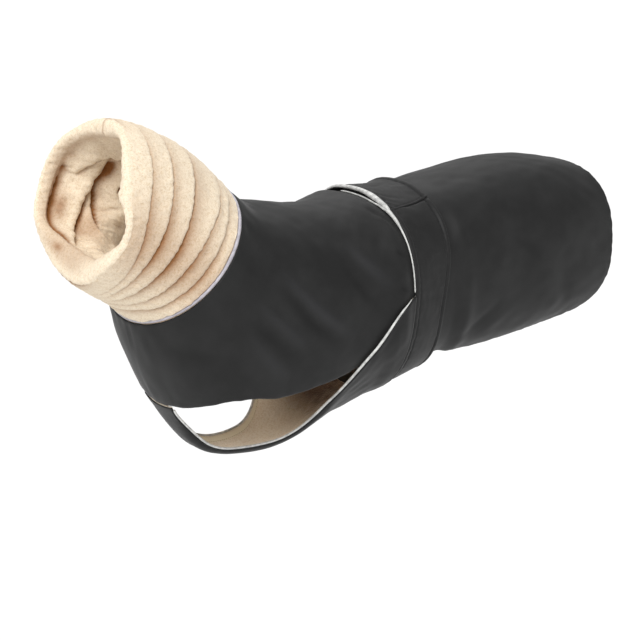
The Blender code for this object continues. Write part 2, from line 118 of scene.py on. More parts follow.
SHELL_CREASES = (
    # the shell's own: troughs, and ridges where the depth is negative
    Crease(0.060, 64, 0.184, 89, -0.0030, 0.0060),
    Crease(0.062, 71, 0.172, 94, 0.0017, 0.006),
    Crease(0.055, 97, 0.130, 100.5, 0.0015, 0.0055),
    Crease(0.150, 42, 0.245, 72, -0.0012, 0.007),
    Crease(0.140, 52, 0.232, 84, 0.0013, 0.006),
    Crease(0.236, 20, 0.268, 44, 0.0013, 0.005),
    Crease(0.246, 30, 0.270, 50, -0.0009, 0.004),
    Crease(0.250, 54, 0.271, 60, 0.0017, 0.003),
    Crease(0.246, 72, 0.270, 79, 0.0016, 0.0035),
    Crease(0.240, 88, 0.272, 90, 0.0008, 0.004),
    Crease(0.346, 22, 0.343, 74, 0.0010, 0.004),
    Crease(0.430, 66, 0.475, 84, 0.0012, 0.008),
    Crease(0.360, 128, 0.420, 104, 0.0010, 0.006),
    Crease(0.372, 134, 0.440, 112, -0.0005, 0.006),
    Crease(0.480, 100, 0.560, 118, 0.0010, 0.010),
    Crease(0.045, -60, 0.170, -88, 0.0015, 0.006),
    Crease(0.060, -71, 0.165, -95, -0.0026, 0.0065),
    Crease(0.072, -92, 0.130, -97, -0.0020, 0.0055),
    Crease(0.075, -98, 0.140, -106, 0.0014, 0.0055),
    Crease(0.150, -40, 0.245, -74, 0.0013, 0.007),
    Crease(0.235, -26, 0.268, -50, 0.0012, 0.005),
    Crease(0.245, -66, 0.271, -76, 0.0011, 0.004),
    Crease(0.365, -130, 0.430, -100, 0.0013, 0.006),
    Crease(0.440, -60, 0.500, -86, 0.0012, 0.009),
    Crease(0.150, 39, 0.236, 69, -0.0014, 0.007),
    Crease(0.050, 88, 0.132, 95, -0.0022, 0.0050),
    Crease(0.060, 103, 0.126, 108, -0.0019, 0.0050),
    Crease(0.485, -104, 0.560, -122, 0.0010, 0.010),
    Crease(0.020, 150, 0.060, 118, 0.0012, 0.007),
    Crease(0.022, -146, 0.058, -112, 0.0012, 0.007),
)
ARC = 0.11  # metres of cloth for each radian of turn, near enough for measuring creases
Relief = namedtuple("Relief", "height size seed")
BILLOWS = Relief(0.0007, 0.070, 11)
RIPPLES = Relief(0.00022, 0.022, 12)
HEM_PUCKERS = Relief(0.00035, 0.012, 13)
HEM_PUCKER_REACH = 0.006
NECK_PUCKERS = Relief(0.0005, 0.016, 14)
NECK_PUCKER_REACH = 0.010
NECK_PUCKER_STRETCH = 0.3  # they run back from the seam, so they are longer than they are wide
EDGE_HOLD = 0.012  # creases and billows fade out this close to an edge
FULL_PAINTED_SHADING = 0.0030  # a fold this deep takes all of the painted shade, and one this high all of the painted highlight
PUFF = 0.0016  # the cloth puffs up where it comes out behind the band
PUFF_AT = 0.362
PUFF_REACH = 0.009
CINCH = 0.0040  # how far the band draws the back in
CINCH_REACH = 0.020  # the pull fades out over this much on both sides
CINCH_BEHIND = 0.008  # it stays full this far behind the band
THREAD_SPACING = 0.0009  # drawn three times as coarse as the real weave, which is too fine to show


def between_rows(values, slopes, low, part, span=1):
    """Values a part of the way from each low row to the next, on a smooth curve through the rows."""
    near = values[low] * (1 + 2 * part) * (1 - part) ** 2 + slopes[low] * span * part * (1 - part) ** 2
    far = values[low + 1] * part**2 * (3 - 2 * part) + slopes[low + 1] * span * part**2 * (part - 1)
    return near + far


def read(table, at):
    """The columns of a table at the distances `at`."""
    knots = np.array([row[0] for row in table])
    values = np.array([row[1:] for row in table], float)
    slopes = np.gradient(values, knots, axis=0)
    at = np.clip(np.asarray(at, float), knots[0], knots[-1])
    low = np.clip(np.searchsorted(knots, at, side="right") - 1, 0, len(knots) - 2)
    span = (knots[low + 1] - knots[low])[..., None]
    part = (at - knots[low])[..., None] / span
    return type(table[0])(at, *np.moveaxis(between_rows(values, slopes, low, part, span), -1, 0))


def ring_point(row, turn):
    """Points round a tilted, squared-off oval section."""
    angle = np.radians(turn)
    above = np.cos(angle) > 0
    fuller = 1 + np.where(above, row.square, row.low_square) * np.sin(2 * angle) ** 2
    rise = np.where(above, row.up, row.down) * np.cos(angle) * fuller
    tilt = np.radians(row.tilt)
    x = row.x + rise * np.sin(tilt)
    y = -row.half_width * np.sin(angle) * fuller
    z = row.z + rise * np.cos(tilt)
    return np.stack([x, y, z], axis=-1)


def outward(surface, at, turn):
    """The unit normal of surface(at, turn), pointing away from the body."""
    step_at, step_turn = 0.0005, 0.25
    along = surface(at + step_at, turn) - surface(at - step_at, turn)
    around = surface(at, turn + step_turn) - surface(at, turn - step_turn)
    normal = np.cross(around, along)
    return normal / np.linalg.norm(normal, axis=-1, keepdims=True)


def smooth_step(value, low, high):
    """0 at `low`, 1 at `high`, and eased between them."""
    t = np.clip((value - low) / (high - low), 0, 1)
    return t * t * (3 - 2 * t)


def bell(value, middle, width):
    """A round bump: 1 at the middle and nearly gone two widths away."""
    return np.exp(-(((value - middle) / width) ** 2))


def flat_place(at, turn):
    """A place on the flat cloth, in metres along the body and round it."""
    return np.stack(np.broadcast_arrays(at, np.radians(turn) * ARC), -1)


def beside_run(places, start, run):
    """Each place's offset from the start of a straight run, the part of it passed, and how far off it is."""
    away = places - start
    part = np.clip(away @ run / (run @ run), 0, 1)
    return away, part, np.linalg.norm(away - part[..., None] * run, axis=-1)


def crease_sum(creases, at, turn):
    """How deep a list of creases is at each place; each crease fades out at its two ends."""
    places = flat_place(at, turn)
    depth = np.zeros(places.shape[:-1])
    for crease in creases:
        start = flat_place(crease.at, crease.turn)
        _, part, across = beside_run(places, start, flat_place(crease.to_at, crease.to_turn) - start)
        depth += crease.depth * np.sin(np.pi * part) * bell(across, 0, crease.width)
    return depth


def under_band(at):
    """1 where the band draws the back in, fading to 0 beside it."""
    drawn_in = smooth_step(at, BAND_FRONT - CINCH_REACH, BAND_FRONT)
    let_go = BAND_REAR + CINCH_BEHIND
    return drawn_in * (1 - smooth_step(at, let_go, let_go + CINCH_REACH))


def body(at, turn):
    """Points on the body that the coat lies on."""
    return ring_point(read(BODY, at), turn)


def drawn_depth(at, turn):
    """How far the main creases and the band's pull draw the back in."""
    drawn_in = under_band(at)
    return crease_sum(MAIN_CREASES, at, turn) * (1 - drawn_in) + CINCH * drawn_in


def saddle(at, turn, out=0.0):
    """Points on the inside of the back, or `out` metres outside it."""
    at, turn = np.broadcast_arrays(np.asarray(at, float), np.asarray(turn, float))
    return body(at, turn) + outward(body, at, turn) * (out - drawn_depth(at, turn))[..., None]


def uneven(relief, across, along):
    """A smooth unevenness: bumps and hollows of about its height, and about its size apart."""
    random = np.random.default_rng(relief.seed)
    waves, usual_peak = 10, 3.5
    total = np.zeros(np.broadcast(across, along).shape)
    for _ in range(waves):
        heading, phase = random.uniform(0, 2 * np.pi, 2)
        wave = 2 * np.pi / (relief.size * random.uniform(0.8, 1.6))
        total += np.cos(wave * (across * np.cos(heading) + along * np.sin(heading)) + phase)
    return relief.height * (total / usual_peak)


def coat_hem(at):
    """The hem's turn. It runs round a corner into the rear edge."""
    turn = read(COAT_HEM, at).turn
    into_corner = np.clip((at - (COAT_END - CORNER)) / CORNER, 0, 1)
    return CORNER_TURN + (turn - CORNER_TURN) * np.sqrt(1 - into_corner**2)


def spread(*stretches):
    """Places from (start, end, steps) stretches that follow on from each other."""
    parts = [np.linspace(start, end, steps + 1)[:-1] for start, end, steps in stretches]
    return np.append(np.concatenate(parts), stretches[-1][1])


def coat_edge():
    """The left edge of the back on the flat cloth, from the strap's seam to the middle of the rear."""
    side_at = spread((STRAP_START, 0.101, 40), (0.101, COAT_END - CORNER, 160))
    corner_at = COAT_END - CORNER * (1 - np.sin(np.linspace(0, np.pi / 2, 30)[1:]))
    side_at = np.append(side_at, corner_at)
    strap_turn = np.linspace(180, 163, 10)
    rear_turn = np.linspace(CORNER_TURN - 3, 0, 30)
    at = [np.full_like(strap_turn, STRAP_START), side_at, np.full_like(rear_turn, COAT_END)]
    turn = [strap_turn, coat_hem(side_at), rear_turn]
    return flat_place(np.concatenate(at), np.concatenate(turn))


def edge_distance(at, turn, edge):
    """How far each place is from an edge, along the cloth; the right side is read as the left."""
    places = flat_place(at, np.abs(turn))
    nearest = np.full(places.shape[:-1], np.inf)
    for start, end in zip(edge[:-1], edge[1:]):
        distance = beside_run(places, start, end - start)[2]
        nearest = np.minimum(nearest, distance)
    return nearest


def rounded(distance, radius):
    """A turned edge's share of the full height: a quarter circle that rises from 0 to 1."""
    t = np.clip(distance / radius, 0, 1)
    return np.sqrt(1 - (1 - t) ** 2)


def finished_piece(name, mesh, finish):
    """A piece made from its mesh: its faces turned outwards, smooth, and all in one finish."""
    if sum(face.center.dot(face.normal) * face.area for face in mesh.polygons) < 0:
        mesh.flip_normals()
    mesh.shade_smooth()
    mesh.materials.append(finish)
    piece = bpy.data.objects.new(name, mesh)
    bpy.context.scene.collection.objects.link(piece)
    return piece


def cloth_piece(name, seen, hidden, finish, across, along, wrap=False, painted_shading=None):
    """A closed cloth wall: its seen face is a fine grid of points, its hidden face one half as fine.

    A point that is not a number leaves a hole. `across` and `along` place each seen point on the flat
    cloth, in metres, for the UV map; a wrapped piece has one more column of them than of points.
    The last argument is painted shade in hollows, up to 1, and painted highlight on folds that stand out,
    down to -1, for a finish that reads it.
    """
    rows, columns = seen.shape[:2]
    kept = ~np.isnan(seen[..., 0])
    number = np.cumsum(kept).reshape(kept.shape) - 1
    hidden_kept = kept[::2, ::2]
    hidden_number = np.cumsum(hidden_kept).reshape(hidden_kept.shape) - 1 + kept.sum()

    def cells(step):
        """The corners of each cell, as (row, column), for cells that are not in a hole."""
        last_column = columns if wrap else columns - 1
        i, j = np.meshgrid(np.arange(0, rows - 1, step), np.arange(0, last_column, step), indexing="ij")
        round_cell = [np.stack([i + a, j + b], -1) for a, b in ((0, 0), (0, step), (step, step), (step, 0))]
        corners = np.stack(round_cell, -2).reshape(-1, 4, 2)
        return corners[kept[corners[..., 0], corners[..., 1] % columns].all(1)]

    def seen_vertex(corner):
        return number[corner[..., 0], corner[..., 1] % columns]

    def hidden_vertex(corner):
        return hidden_number[corner[..., 0] // 2, corner[..., 1] % columns // 2]

    fine, coarse = cells(1), cells(2)
    starts, ends = coarse.reshape(-1, 2), np.roll(coarse, -1, axis=1).reshape(-1, 2)
    edges = np.sort(np.stack([hidden_vertex(starts), hidden_vertex(ends)], -1), axis=1)
    _, first, count = np.unique(edges, axis=0, return_index=True, return_counts=True)
    starts, ends = starts[first[count == 1]], ends[first[count == 1]]
    rim = np.stack([ends, (starts + ends) // 2, starts, starts, ends], 1)
    rim_faces = np.hstack([seen_vertex(rim[:, :3]), hidden_vertex(rim[:, 3:])])
    coarse = coarse[:, ::-1]
    points = np.vstack([seen[kept], hidden[::2, ::2][hidden_kept]])
    faces = seen_vertex(fine).tolist() + hidden_vertex(coarse).tolist() + rim_faces.tolist()

    mesh = bpy.data.meshes.new(name)
    mesh.from_pydata(points.tolist(), [], faces)
    flat = np.stack([across, along], -1).astype(np.float32)
    corners = np.vstack([c.reshape(-1, 2) for c in (fine, coarse, rim)])
    uv_map = mesh.uv_layers.new(name="Flat cloth")
    uv_map.data.foreach_set("uv", flat[corners[:, 0], corners[:, 1]].ravel())
    # painted shading: painted shade up to 1, painted highlight down to -1
    painted_shading_attribute = mesh.attributes.new("painted_shading", "FLOAT", "POINT")
    if painted_shading is not None:
        both_faces = np.concatenate([painted_shading[kept], painted_shading[::2, ::2][hidden_kept]])
        painted_shading_attribute.data.foreach_set("value", both_faces.astype(np.float32))
    return finished_piece(name, mesh, finish)


def colour(code):
    """A linear colour from an sRGB hex code."""
    parts = [int(code[i : i + 2], 16) / 255 for i in (1, 3, 5)]
    return (*[c / 12.92 if c < 0.04045 else ((c + 0.055) / 1.055) ** 2.4 for c in parts], 1)


def add(tree, kind, settings, links=(), stops=()):
    """A node with its settings (properties or input values) and its links, as (input, socket) pairs.

    A colour ramp's stops are given as (position, hex code) pairs.
    """
    made = tree.nodes.new(kind)
    for key, value in settings.items():
        if isinstance(key, str) and hasattr(made, key):
            setattr(made, key, value)
        else:
            made.inputs[key].default_value = value
    for key, socket in links:
        tree.links.new(socket, made.inputs[key])
    for number, (position, code) in enumerate(stops):
        made.color_ramp.elements[number].position = position
        made.color_ramp.elements[number].color = colour(code)
    return made


def finish_of(name, settings):
    """A material with one Principled shader, its node tree and that shader."""
    made = bpy.data.materials.new(name)
    made.use_nodes = True
    tree = made.node_tree
    shader = tree.nodes["Principled BSDF"]
    for key, value in settings.items():
        shader.inputs[key].default_value = value
    return made, tree, shader


def wave_scale(spacing):
    """The scale of a Wave texture whose bands are `spacing` apart."""
    return math.pi / 10 / spacing


def woven_shell():
    """Woven polyester shell with a matt water-repellent finish: near black, dull and faintly mottled.

    It has a painted highlight on a fold that stands out, and painted shade in a fold that sinks in.
    """
    made, tree, shader = finish_of(
        "Woven polyester shell",
        {
            "Roughness": 0.50,
            "IOR": 1.45,
            "Specular IOR Level": 0.15,
            "Sheen Weight": 0.07,
            "Sheen Roughness": 0.40,
        },
    )
    where = add(tree, "ShaderNodeTexCoord", {})
    # patches of about 40 mm
    patches = add(
        tree,
        "ShaderNodeTexNoise",
        {"Scale": 26, "Detail": 3, "Roughness": 0.55},
        [("Vector", where.outputs["Object"])],
    )
    tones = ((0.35, "#222222"), (0.68, "#282828"))
    tone = add(tree, "ShaderNodeValToRGB", {}, [("Fac", patches.outputs["Fac"])], tones)
    # painted shading: darker in the shell's creases and paler on its ridges, as the piece paints it
    folded = add(tree, "ShaderNodeAttribute", {"attribute_name": "painted_shading"})
    # painted shade in a crease
    sunk = add(
        tree,
        "ShaderNodeMixRGB",
        {"blend_type": "MULTIPLY", "Color2": colour("#A6A6A6")},
        [("Fac", folded.outputs["Fac"]), ("Color1", tone.outputs["Color"])],
    )
    # painted highlight on a ridge, which the piece paints below 0
    raised = add(tree, "ShaderNodeMath", {"operation": "MULTIPLY", 1: -1.0}, [(0, folded.outputs["Fac"])])
    with_painted_highlight = add(
        tree,
        "ShaderNodeMixRGB",
        {"Color2": colour("#2F2F30")},
        [("Fac", raised.outputs[0]), ("Color1", sunk.outputs["Color"])],
    )
    tree.links.new(with_painted_highlight.outputs["Color"], shader.inputs["Base Color"])
    threads = []
    for direction in ("X", "Y"):
        threads.append(
            add(
                tree,
                "ShaderNodeTexWave",
                {"bands_direction": direction, "Scale": wave_scale(THREAD_SPACING), "Distortion": 0.6},
                [("Vector", where.outputs["UV"])],
            )
        )
    weave = add(
        tree,
        "ShaderNodeMath",
        {"operation": "MULTIPLY"},
        [(0, threads[0].outputs["Fac"]), (1, threads[1].outputs["Fac"])],
    )
    # slubs of about 2.4 mm in the threads
    grain = add(
        tree, "ShaderNodeTexNoise", {"Scale": 420, "Detail": 2}, [("Vector", where.outputs["Object"])]
    )
    height = add(
        tree, "ShaderNodeMath", {"operation": "ADD"}, [(0, weave.outputs[0]), (1, grain.outputs["Fac"])]
    )
    bump = add(
        tree, "ShaderNodeBump", {"Strength": 0.16, "Distance": 0.0002}, [("Height", height.outputs[0])]
    )
    tree.links.new(bump.outputs["Normal"], shader.inputs["Normal"])
    return made


shell_cloth = woven_shell()
hem_line = coat_edge()
closed_at = spread((NECK_EDGE, 0.008, 6), (0.008, 0.072, 26), (0.072, STRAP_START, 8))
shoulder_at = spread((STRAP_START, 0.101, 30), (0.101, 0.130, 18), (0.130, BACK_SEAM - SEAM_GAP / 2, 80))
loin_at = spread((BACK_SEAM + SEAM_GAP / 2, 0.592, 132), (0.592, COAT_END, 20))
back_at = np.concatenate([closed_at, shoulder_at[1:], loin_at])
SHOULDER_ROWS = len(closed_at) + len(shoulder_at) - 1
FLANK = 88  # the columns of points are even down to this turn, and crowd toward the hem below it
HEM_CROWDING = 1.4
FLANK_STEPS, HEM_STEPS, UNDER_STEPS = 66, 38, 8
hem_turn = coat_hem(np.maximum(back_at, STRAP_START))[:, None]
upper = np.broadcast_to(np.linspace(0, FLANK, FLANK_STEPS + 1), (len(back_at), FLANK_STEPS + 1))
lower = FLANK + (hem_turn - FLANK) * (1 - (1 - np.linspace(0, 1, HEM_STEPS + 1)[1:]) ** HEM_CROWDING)
under = hem_turn + (180 - hem_turn) * np.linspace(0, 1, UNDER_STEPS + 1)[1:]
under = np.where(back_at[:, None] <= STRAP_START, under, np.nan)
left_turn = np.hstack([upper, lower, under])
back_turn = np.hstack([-left_turn[:, :0:-1], left_turn[:, :-1]])
back_at = np.broadcast_to(back_at[:, None], back_turn.shape)
back_round = np.radians(back_turn) * ARC
to_hem = edge_distance(back_at, np.nan_to_num(back_turn), hem_line)
to_edge = np.minimum(to_hem, back_at - NECK_EDGE + NECK_TUCK)
free = (1 - under_band(back_at)) * smooth_step(to_edge, 0.0, EDGE_HOLD)

soft = uneven(BILLOWS, back_at, back_round) + uneven(RIPPLES, back_at, back_round)
folds = crease_sum(SHELL_CREASES, back_at, back_turn)
soft -= folds
soft += PUFF * bell(back_at, PUFF_AT, PUFF_REACH)
# painted shade in the shell's creases and painted highlight on its ridges
shell_painted_shading = np.clip(folds / FULL_PAINTED_SHADING, -1, 1) * free
puckers = uneven(HEM_PUCKERS, back_at, back_round) * np.exp(-to_hem / HEM_PUCKER_REACH)
neck_puckers = uneven(NECK_PUCKERS, back_at * NECK_PUCKER_STRETCH, back_round)
puckers += neck_puckers * np.exp(-back_at / NECK_PUCKER_REACH)
shell_height = EDGE_HEIGHT + (COAT_WALL - EDGE_HEIGHT) * rounded(to_edge, EDGE_RADIUS)
shell_top = shell_height + soft * free + puckers
shell_seen = saddle(back_at, back_turn, shell_top)
shell_hidden_at = np.minimum(COAT_WALL - SHELL_WALL, shell_top - THINNEST_SHELL)
shell_hidden = saddle(back_at, back_turn, shell_hidden_at)


def both_ends(grid):
    """A wrapped grid with its first column again at its end, a whole turn on."""
    return np.hstack([grid, grid[:, :1]])


for name, rows, flat_size, flat_area in (
    ("shoulder_panel", slice(0, SHOULDER_ROWS), (0.75, 0.31), 0.154),
    ("loin_panel", slice(SHOULDER_ROWS, None), (0.58, 0.31), 0.161),
):
    shell = cloth_piece(
        name + "_shell",
        shell_seen[rows],
        shell_hidden[rows],
        shell_cloth,
        both_ends(back_round[rows]),
        both_ends(back_at[rows]),
        wrap=True,
        painted_shading=shell_painted_shading[rows],
    )
    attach(shell, "root")
    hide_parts(name)

# ==== The back's lining ===========================================================================
# Short-pile fleece inside both back panels, cut a little smaller than the shell and sewn to it round
# the edge, so it turns up to meet the shell at the hem. Its pile faces the dog.

BACK_PILE = Relief(0.0003, 0.012, 21)
LINING_THINNEST, LINING_THICKEST = 0.0003, 0.0011
LINING_CLEAR = 0.0001  # it stays this far inside the shell
TURN_UP = 0.0005  # how far its edge turns up to the shell
TURN_UP_RADIUS = 0.0022


def fleece_cloth(name, code, rough_code, nap, painted_shade_code, sheen):
    """Polyester fleece, knitted and brushed: dull, with a short soft pile that catches light aslant.

    Its tufts are about `nap` apart, and it darkens toward its painted shade colour as far as its piece
    paints shade.
    """
    made, tree, shader = finish_of(
        name,
        {
            "Roughness": 0.92,
            "IOR": 1.45,
            "Specular IOR Level": 0.12,
            "Sheen Weight": sheen,
            "Sheen Roughness": 0.50,
            "Sheen Tint": colour("#FFF3E2"),
        },
    )
    where = add(tree, "ShaderNodeTexCoord", {})
    tufts = add(
        tree,
        "ShaderNodeTexNoise",
        {"Scale": 1 / nap, "Detail": 3, "Roughness": 0.62},
        [("Vector", where.outputs["Object"])],
    )
    fibres = add(
        tree,
        "ShaderNodeTexNoise",
        {"Scale": 3 / nap, "Detail": 2, "Roughness": 0.7},
        [("Vector", where.outputs["Object"])],
    )
    blend = add(
        tree,
        "ShaderNodeMath",
        {"operation": "MULTIPLY_ADD", 1: 0.9},
        [(0, tufts.outputs["Fac"]), (2, fibres.outputs["Fac"])],
    )
    tones = ((0.72, rough_code), (1.0, code))
    tone = add(tree, "ShaderNodeValToRGB", {}, [("Fac", blend.outputs[0])], tones)
    # painted shade: the colour darkens toward the shade colour where the piece paints shade
    painted_shading_attribute = add(tree, "ShaderNodeAttribute", {"attribute_name": "painted_shading"})
    with_painted_shade = add(
        tree,
        "ShaderNodeMixRGB",
        {"blend_type": "MULTIPLY", "Color2": colour(painted_shade_code)},
        [("Fac", painted_shading_attribute.outputs["Fac"]), ("Color1", tone.outputs["Color"])],
    )
    tree.links.new(with_painted_shade.outputs["Color"], shader.inputs["Base Color"])
    coarse = add(
        tree, "ShaderNodeBump", {"Strength": 0.75, "Distance": nap * 0.5}, [("Height", tufts.outputs["Fac"])]
    )
    fine = add(
        tree,
        "ShaderNodeBump",
        {"Strength": 0.45, "Distance": nap * 0.18},
        [("Height", fibres.outputs["Fac"]), ("Normal", coarse.outputs["Normal"])],
    )
    tree.links.new(fine.outputs["Normal"], shader.inputs["Normal"])
    return made


lining_fleece = fleece_cloth(
    "Brushed polyester fleece, lining",
    code="#E6D2B8",
    rough_code="#CDB390",
    nap=0.0022,
    painted_shade_code="#9C7048",
    sheen=0.3,
)
coarser = (slice(None, None, 2), slice(None, None, 2))
drawn = drawn_depth(back_at, np.nan_to_num(back_turn))
shell_depth = shell_hidden_at - drawn
deepest = np.where(np.isnan(shell_depth), np.inf, shell_depth)
for axis in (0, 1) * 3:
    # the lining is drawn coarser, so it stays inside the deepest of the shell round each point
    beside_it = np.minimum(np.roll(deepest, 1, axis), np.roll(deepest, -1, axis))
    deepest = np.minimum(deepest, beside_it)
inside_shell = np.clip(deepest + drawn - LINING_CLEAR, LINING_THINNEST, LINING_THICKEST)
for name, rows, flat_size, flat_area in (
    ("shoulder_panel", slice(0, SHOULDER_ROWS), (0.75, 0.31), 0.151),
    ("loin_panel", slice(SHOULDER_ROWS, None), (0.58, 0.31), 0.158),
):
    at, turn = back_at[rows][coarser], back_turn[rows][coarser]
    across = back_round[rows][coarser]
    turned_up = 1 - rounded(to_edge[rows][coarser], TURN_UP_RADIUS)
    pile = uneven(BACK_PILE, at, across) * (1 - turned_up)
    lining = cloth_piece(
        name + "_lining",
        saddle(at, turn, TURN_UP * turned_up + pile),
        saddle(at, turn, inside_shell[rows][coarser]),
        lining_fleece,
        both_ends(across),
        both_ends(at),
        wrap=True,
    )
    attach(lining, "root")

# ==== The chest panel =============================================================================
# A strap between the front legs that widens into the belly piece. Its shell is turned over its fleece
# at both edges, where white piping is caught in the seam, and a binding covers the raw edge inside.

ChestRow = namedtuple("ChestRow", "edge_at edge_turn middle_at")
CHEST = (
    ChestRow(0.0792, 165, 0.0792),
    ChestRow(0.092, 167, 0.092),
    ChestRow(0.108, 168, 0.108),
    ChestRow(0.126, 168, 0.126),
    ChestRow(0.144, 168, 0.144),
    ChestRow(0.161, 166, 0.161),
    ChestRow(0.177, 162, 0.178),
    ChestRow(0.189, 154, 0.191),
    ChestRow(0.196, 141, 0.201),
    ChestRow(0.198, 128, 0.210),
    ChestRow(0.201, 115, 0.219),
    ChestRow(0.207, 106, 0.229),
    ChestRow(0.220, 99, 0.237),
    ChestRow(0.237, 91, 0.2455),
    ChestRow(0.254, 85, 0.253),
    ChestRow(0.2724, 82, 0.2599),
)
CHEST_CREASES = (
    Crease(0.232, 96, 0.254, 160, 0.0005, 0.005),
    Crease(0.214, 112, 0.240, 176, -0.0004, 0.007),
    Crease(0.243, 92, 0.255, 128, -0.0003, 0.004),
    Crease(0.244, 128, 0.254, 178, 0.0005, 0.005),
    Crease(0.206, 128, 0.224, 168, 0.0006, 0.006),
    Crease(0.178, 176, 0.206, 150, 0.0008, 0.006),
    Crease(0.232, -98, 0.258, -156, 0.0011, 0.005),
    Crease(0.214, -114, 0.242, -172, -0.0008, 0.007),
    Crease(0.248, -90, 0.262, -132, 0.0009, 0.004),
    Crease(0.204, -126, 0.222, -166, 0.0010, 0.006),
    Crease(0.100, 174, 0.150, 183, 0.0006, 0.006),
)
CHEST_END = len(CHEST) - 1  # its rear row
CHEST_FLEECE_WALL = 0.0020
CHEST_SHELL_WALL = 0.0012
CHEST_EDGE_HEIGHT = 0.0016
CHEST_EDGE_RADIUS = 0.0022
CHEST_THINNEST_SHELL = 0.0003  # at its turned edges
CHEST_TURN_UP = 0.0011  # how far the edge of its fleece turns up to the shell
CHEST_TURN_UP_RADIUS = 0.0018
UNDER_SHELL = 0.0004  # and how far that edge stays below the shell's outside
CHEST_BILLOWS = Relief(0.0006, 0.045, 31)
CHEST_RIPPLES = Relief(0.0002, 0.016, 32)
CHEST_PUCKERS = Relief(0.0003, 0.010, 33)
CHEST_PUCKER_REACH = 0.005
CHEST_PILE = Relief(0.00035, 0.010, 34)
STAND_OFF = 0.0024  # it passes outside the hem of the back, and stands a little off it
OVER_HEM = (0.150, 0.195)  # where it goes out over the hem
LAP_GAP = 0.0008
SNUG = (0.2445, 0.2665)  # where it comes in to the band
STRAP_CURL = 0.0050  # the strap's two edges curl in towards the dog
BINDING_WIDTH = 0.0075
BINDING_INSET = 0.0016
BINDING_ROWS = (0.4, 14.6)  # the rows of the panel that it runs between
BINDING_PROUD, BINDING_SUNK = 0.0001, 0.0004  # how it lies in the pile
TAPE_WALL = 0.0004
TAPE_RADIUS = 0.0008
PILE_PRESSED = 0.0006  # by the tape


def under_belly(turn):
    """1 under the belly, fading to 0 up each side."""
    return smooth_step(np.abs(180 - turn), 90, 40)


def chest_place(row, across):
    """Where on the body a place of the chest panel lies: across is -1 at its right edge, 1 at its left."""
    table = np.array(CHEST)
    low = np.clip(np.floor(row).astype(int), 0, CHEST_END - 1)
    here = between_rows(table, np.gradient(table, axis=0), low, (row - low)[..., None])
    edge_at, edge_turn, middle_at = np.moveaxis(here, -1, 0)
    return middle_at + (edge_at - middle_at) * across**2, 180 - across * (180 - edge_turn)


def chest(row, across, out=0.0):
    """Points on the inside of the chest panel, or `out` metres outside it."""
    at, turn = chest_place(row, across)
    lift = (COAT_WALL + STAND_OFF) * smooth_step(at, *OVER_HEM) + drawn_depth(at, turn)
    # at its rear corners it comes in to the band; under the belly the band hangs out to meet it
    snug = smooth_step(at, *SNUG) * (1 - under_belly(turn))
    lift = lift - (STAND_OFF - LAP_GAP + drawn_depth(at, turn)) * snug
    curl = STRAP_CURL * np.abs(across) ** 5 * smooth_step(row, 0.3, 2.5) * (1 - smooth_step(row, 8, 12))
    return saddle(at, turn, out + lift - curl)


def crowded(count, crowding):
    """Places from -1 to 1 that crowd toward both ends."""
    return np.sin(np.linspace(-1, 1, count) * crowding) / math.sin(crowding)


def lengths_along(points, axis):
    """How far each point of a grid is along its row or column, in metres."""
    steps = np.linalg.norm(np.diff(points, axis=axis), axis=-1)
    start = np.zeros_like(np.take(steps, [0], axis=axis))
    return np.concatenate([start, np.cumsum(steps, axis=axis)], axis=axis)


chest_rows = np.linspace(0, CHEST_END, 151)
chest_row, chest_across = np.meshgrid(chest_rows, crowded(193, 1.35), indexing="ij")
chest_flat = lengths_along(chest(chest_row, chest_across), 1)
chest_length = lengths_along(chest(chest_row, 0 * chest_across), 0)
to_side = np.minimum(chest_flat, chest_flat[:, -1:] - chest_flat)
chest_at, chest_turn = chest_place(chest_row, chest_across)
sewn_end = smooth_step(chest_row, CHEST_END - 1, CHEST_END)
loose = smooth_step(to_side, 0.0, 0.014) * smooth_step(chest_row, 0, 1.5) * (1 - sewn_end)
chest_round = np.radians(chest_turn) * ARC
chest_relief = uneven(CHEST_BILLOWS, chest_at, chest_round) + uneven(CHEST_RIPPLES, chest_at, chest_round)
# the left half's creases, and the right half's, which are given in negative turns
chest_relief -= crease_sum(CHEST_CREASES, chest_at, chest_turn)
chest_relief -= crease_sum(CHEST_CREASES, chest_at, chest_turn - 360)
puckers = uneven(CHEST_PUCKERS, chest_length, 0 * chest_length) * np.exp(-to_side / CHEST_PUCKER_REACH)
turned = rounded(to_side, CHEST_EDGE_RADIUS)
middle_wall = CHEST_FLEECE_WALL + SEAM_GAP
chest_top = CHEST_EDGE_HEIGHT + (middle_wall + CHEST_SHELL_WALL - CHEST_EDGE_HEIGHT) * turned
chest_shell = cloth_piece(
    "chest_panel_shell",
    chest(chest_row, chest_across, chest_top + chest_relief * loose + puckers),
    chest(chest_row, chest_across, np.minimum(middle_wall, chest_top - CHEST_THINNEST_SHELL)),
    shell_cloth,
    chest_flat - chest_flat[:, -1:] / 2,
    chest_length,
)
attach(chest_shell, "root")
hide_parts("chest_panel")

# painted light: the chest's fleece is the same cloth as the snood's, made paler to stand in for light
# reaching it under the coat
chest_fleece_painted_paler = fleece_cloth(
    "Brushed polyester fleece, chest",
    code="#F6ECDC",
    rough_code="#DFCDB2",
    nap=0.0024,
    painted_shade_code="#432B1D",
    sheen=1.0,
)
pile = uneven(CHEST_PILE, chest_at, chest_round) * smooth_step(to_side, 0.004, 0.012)
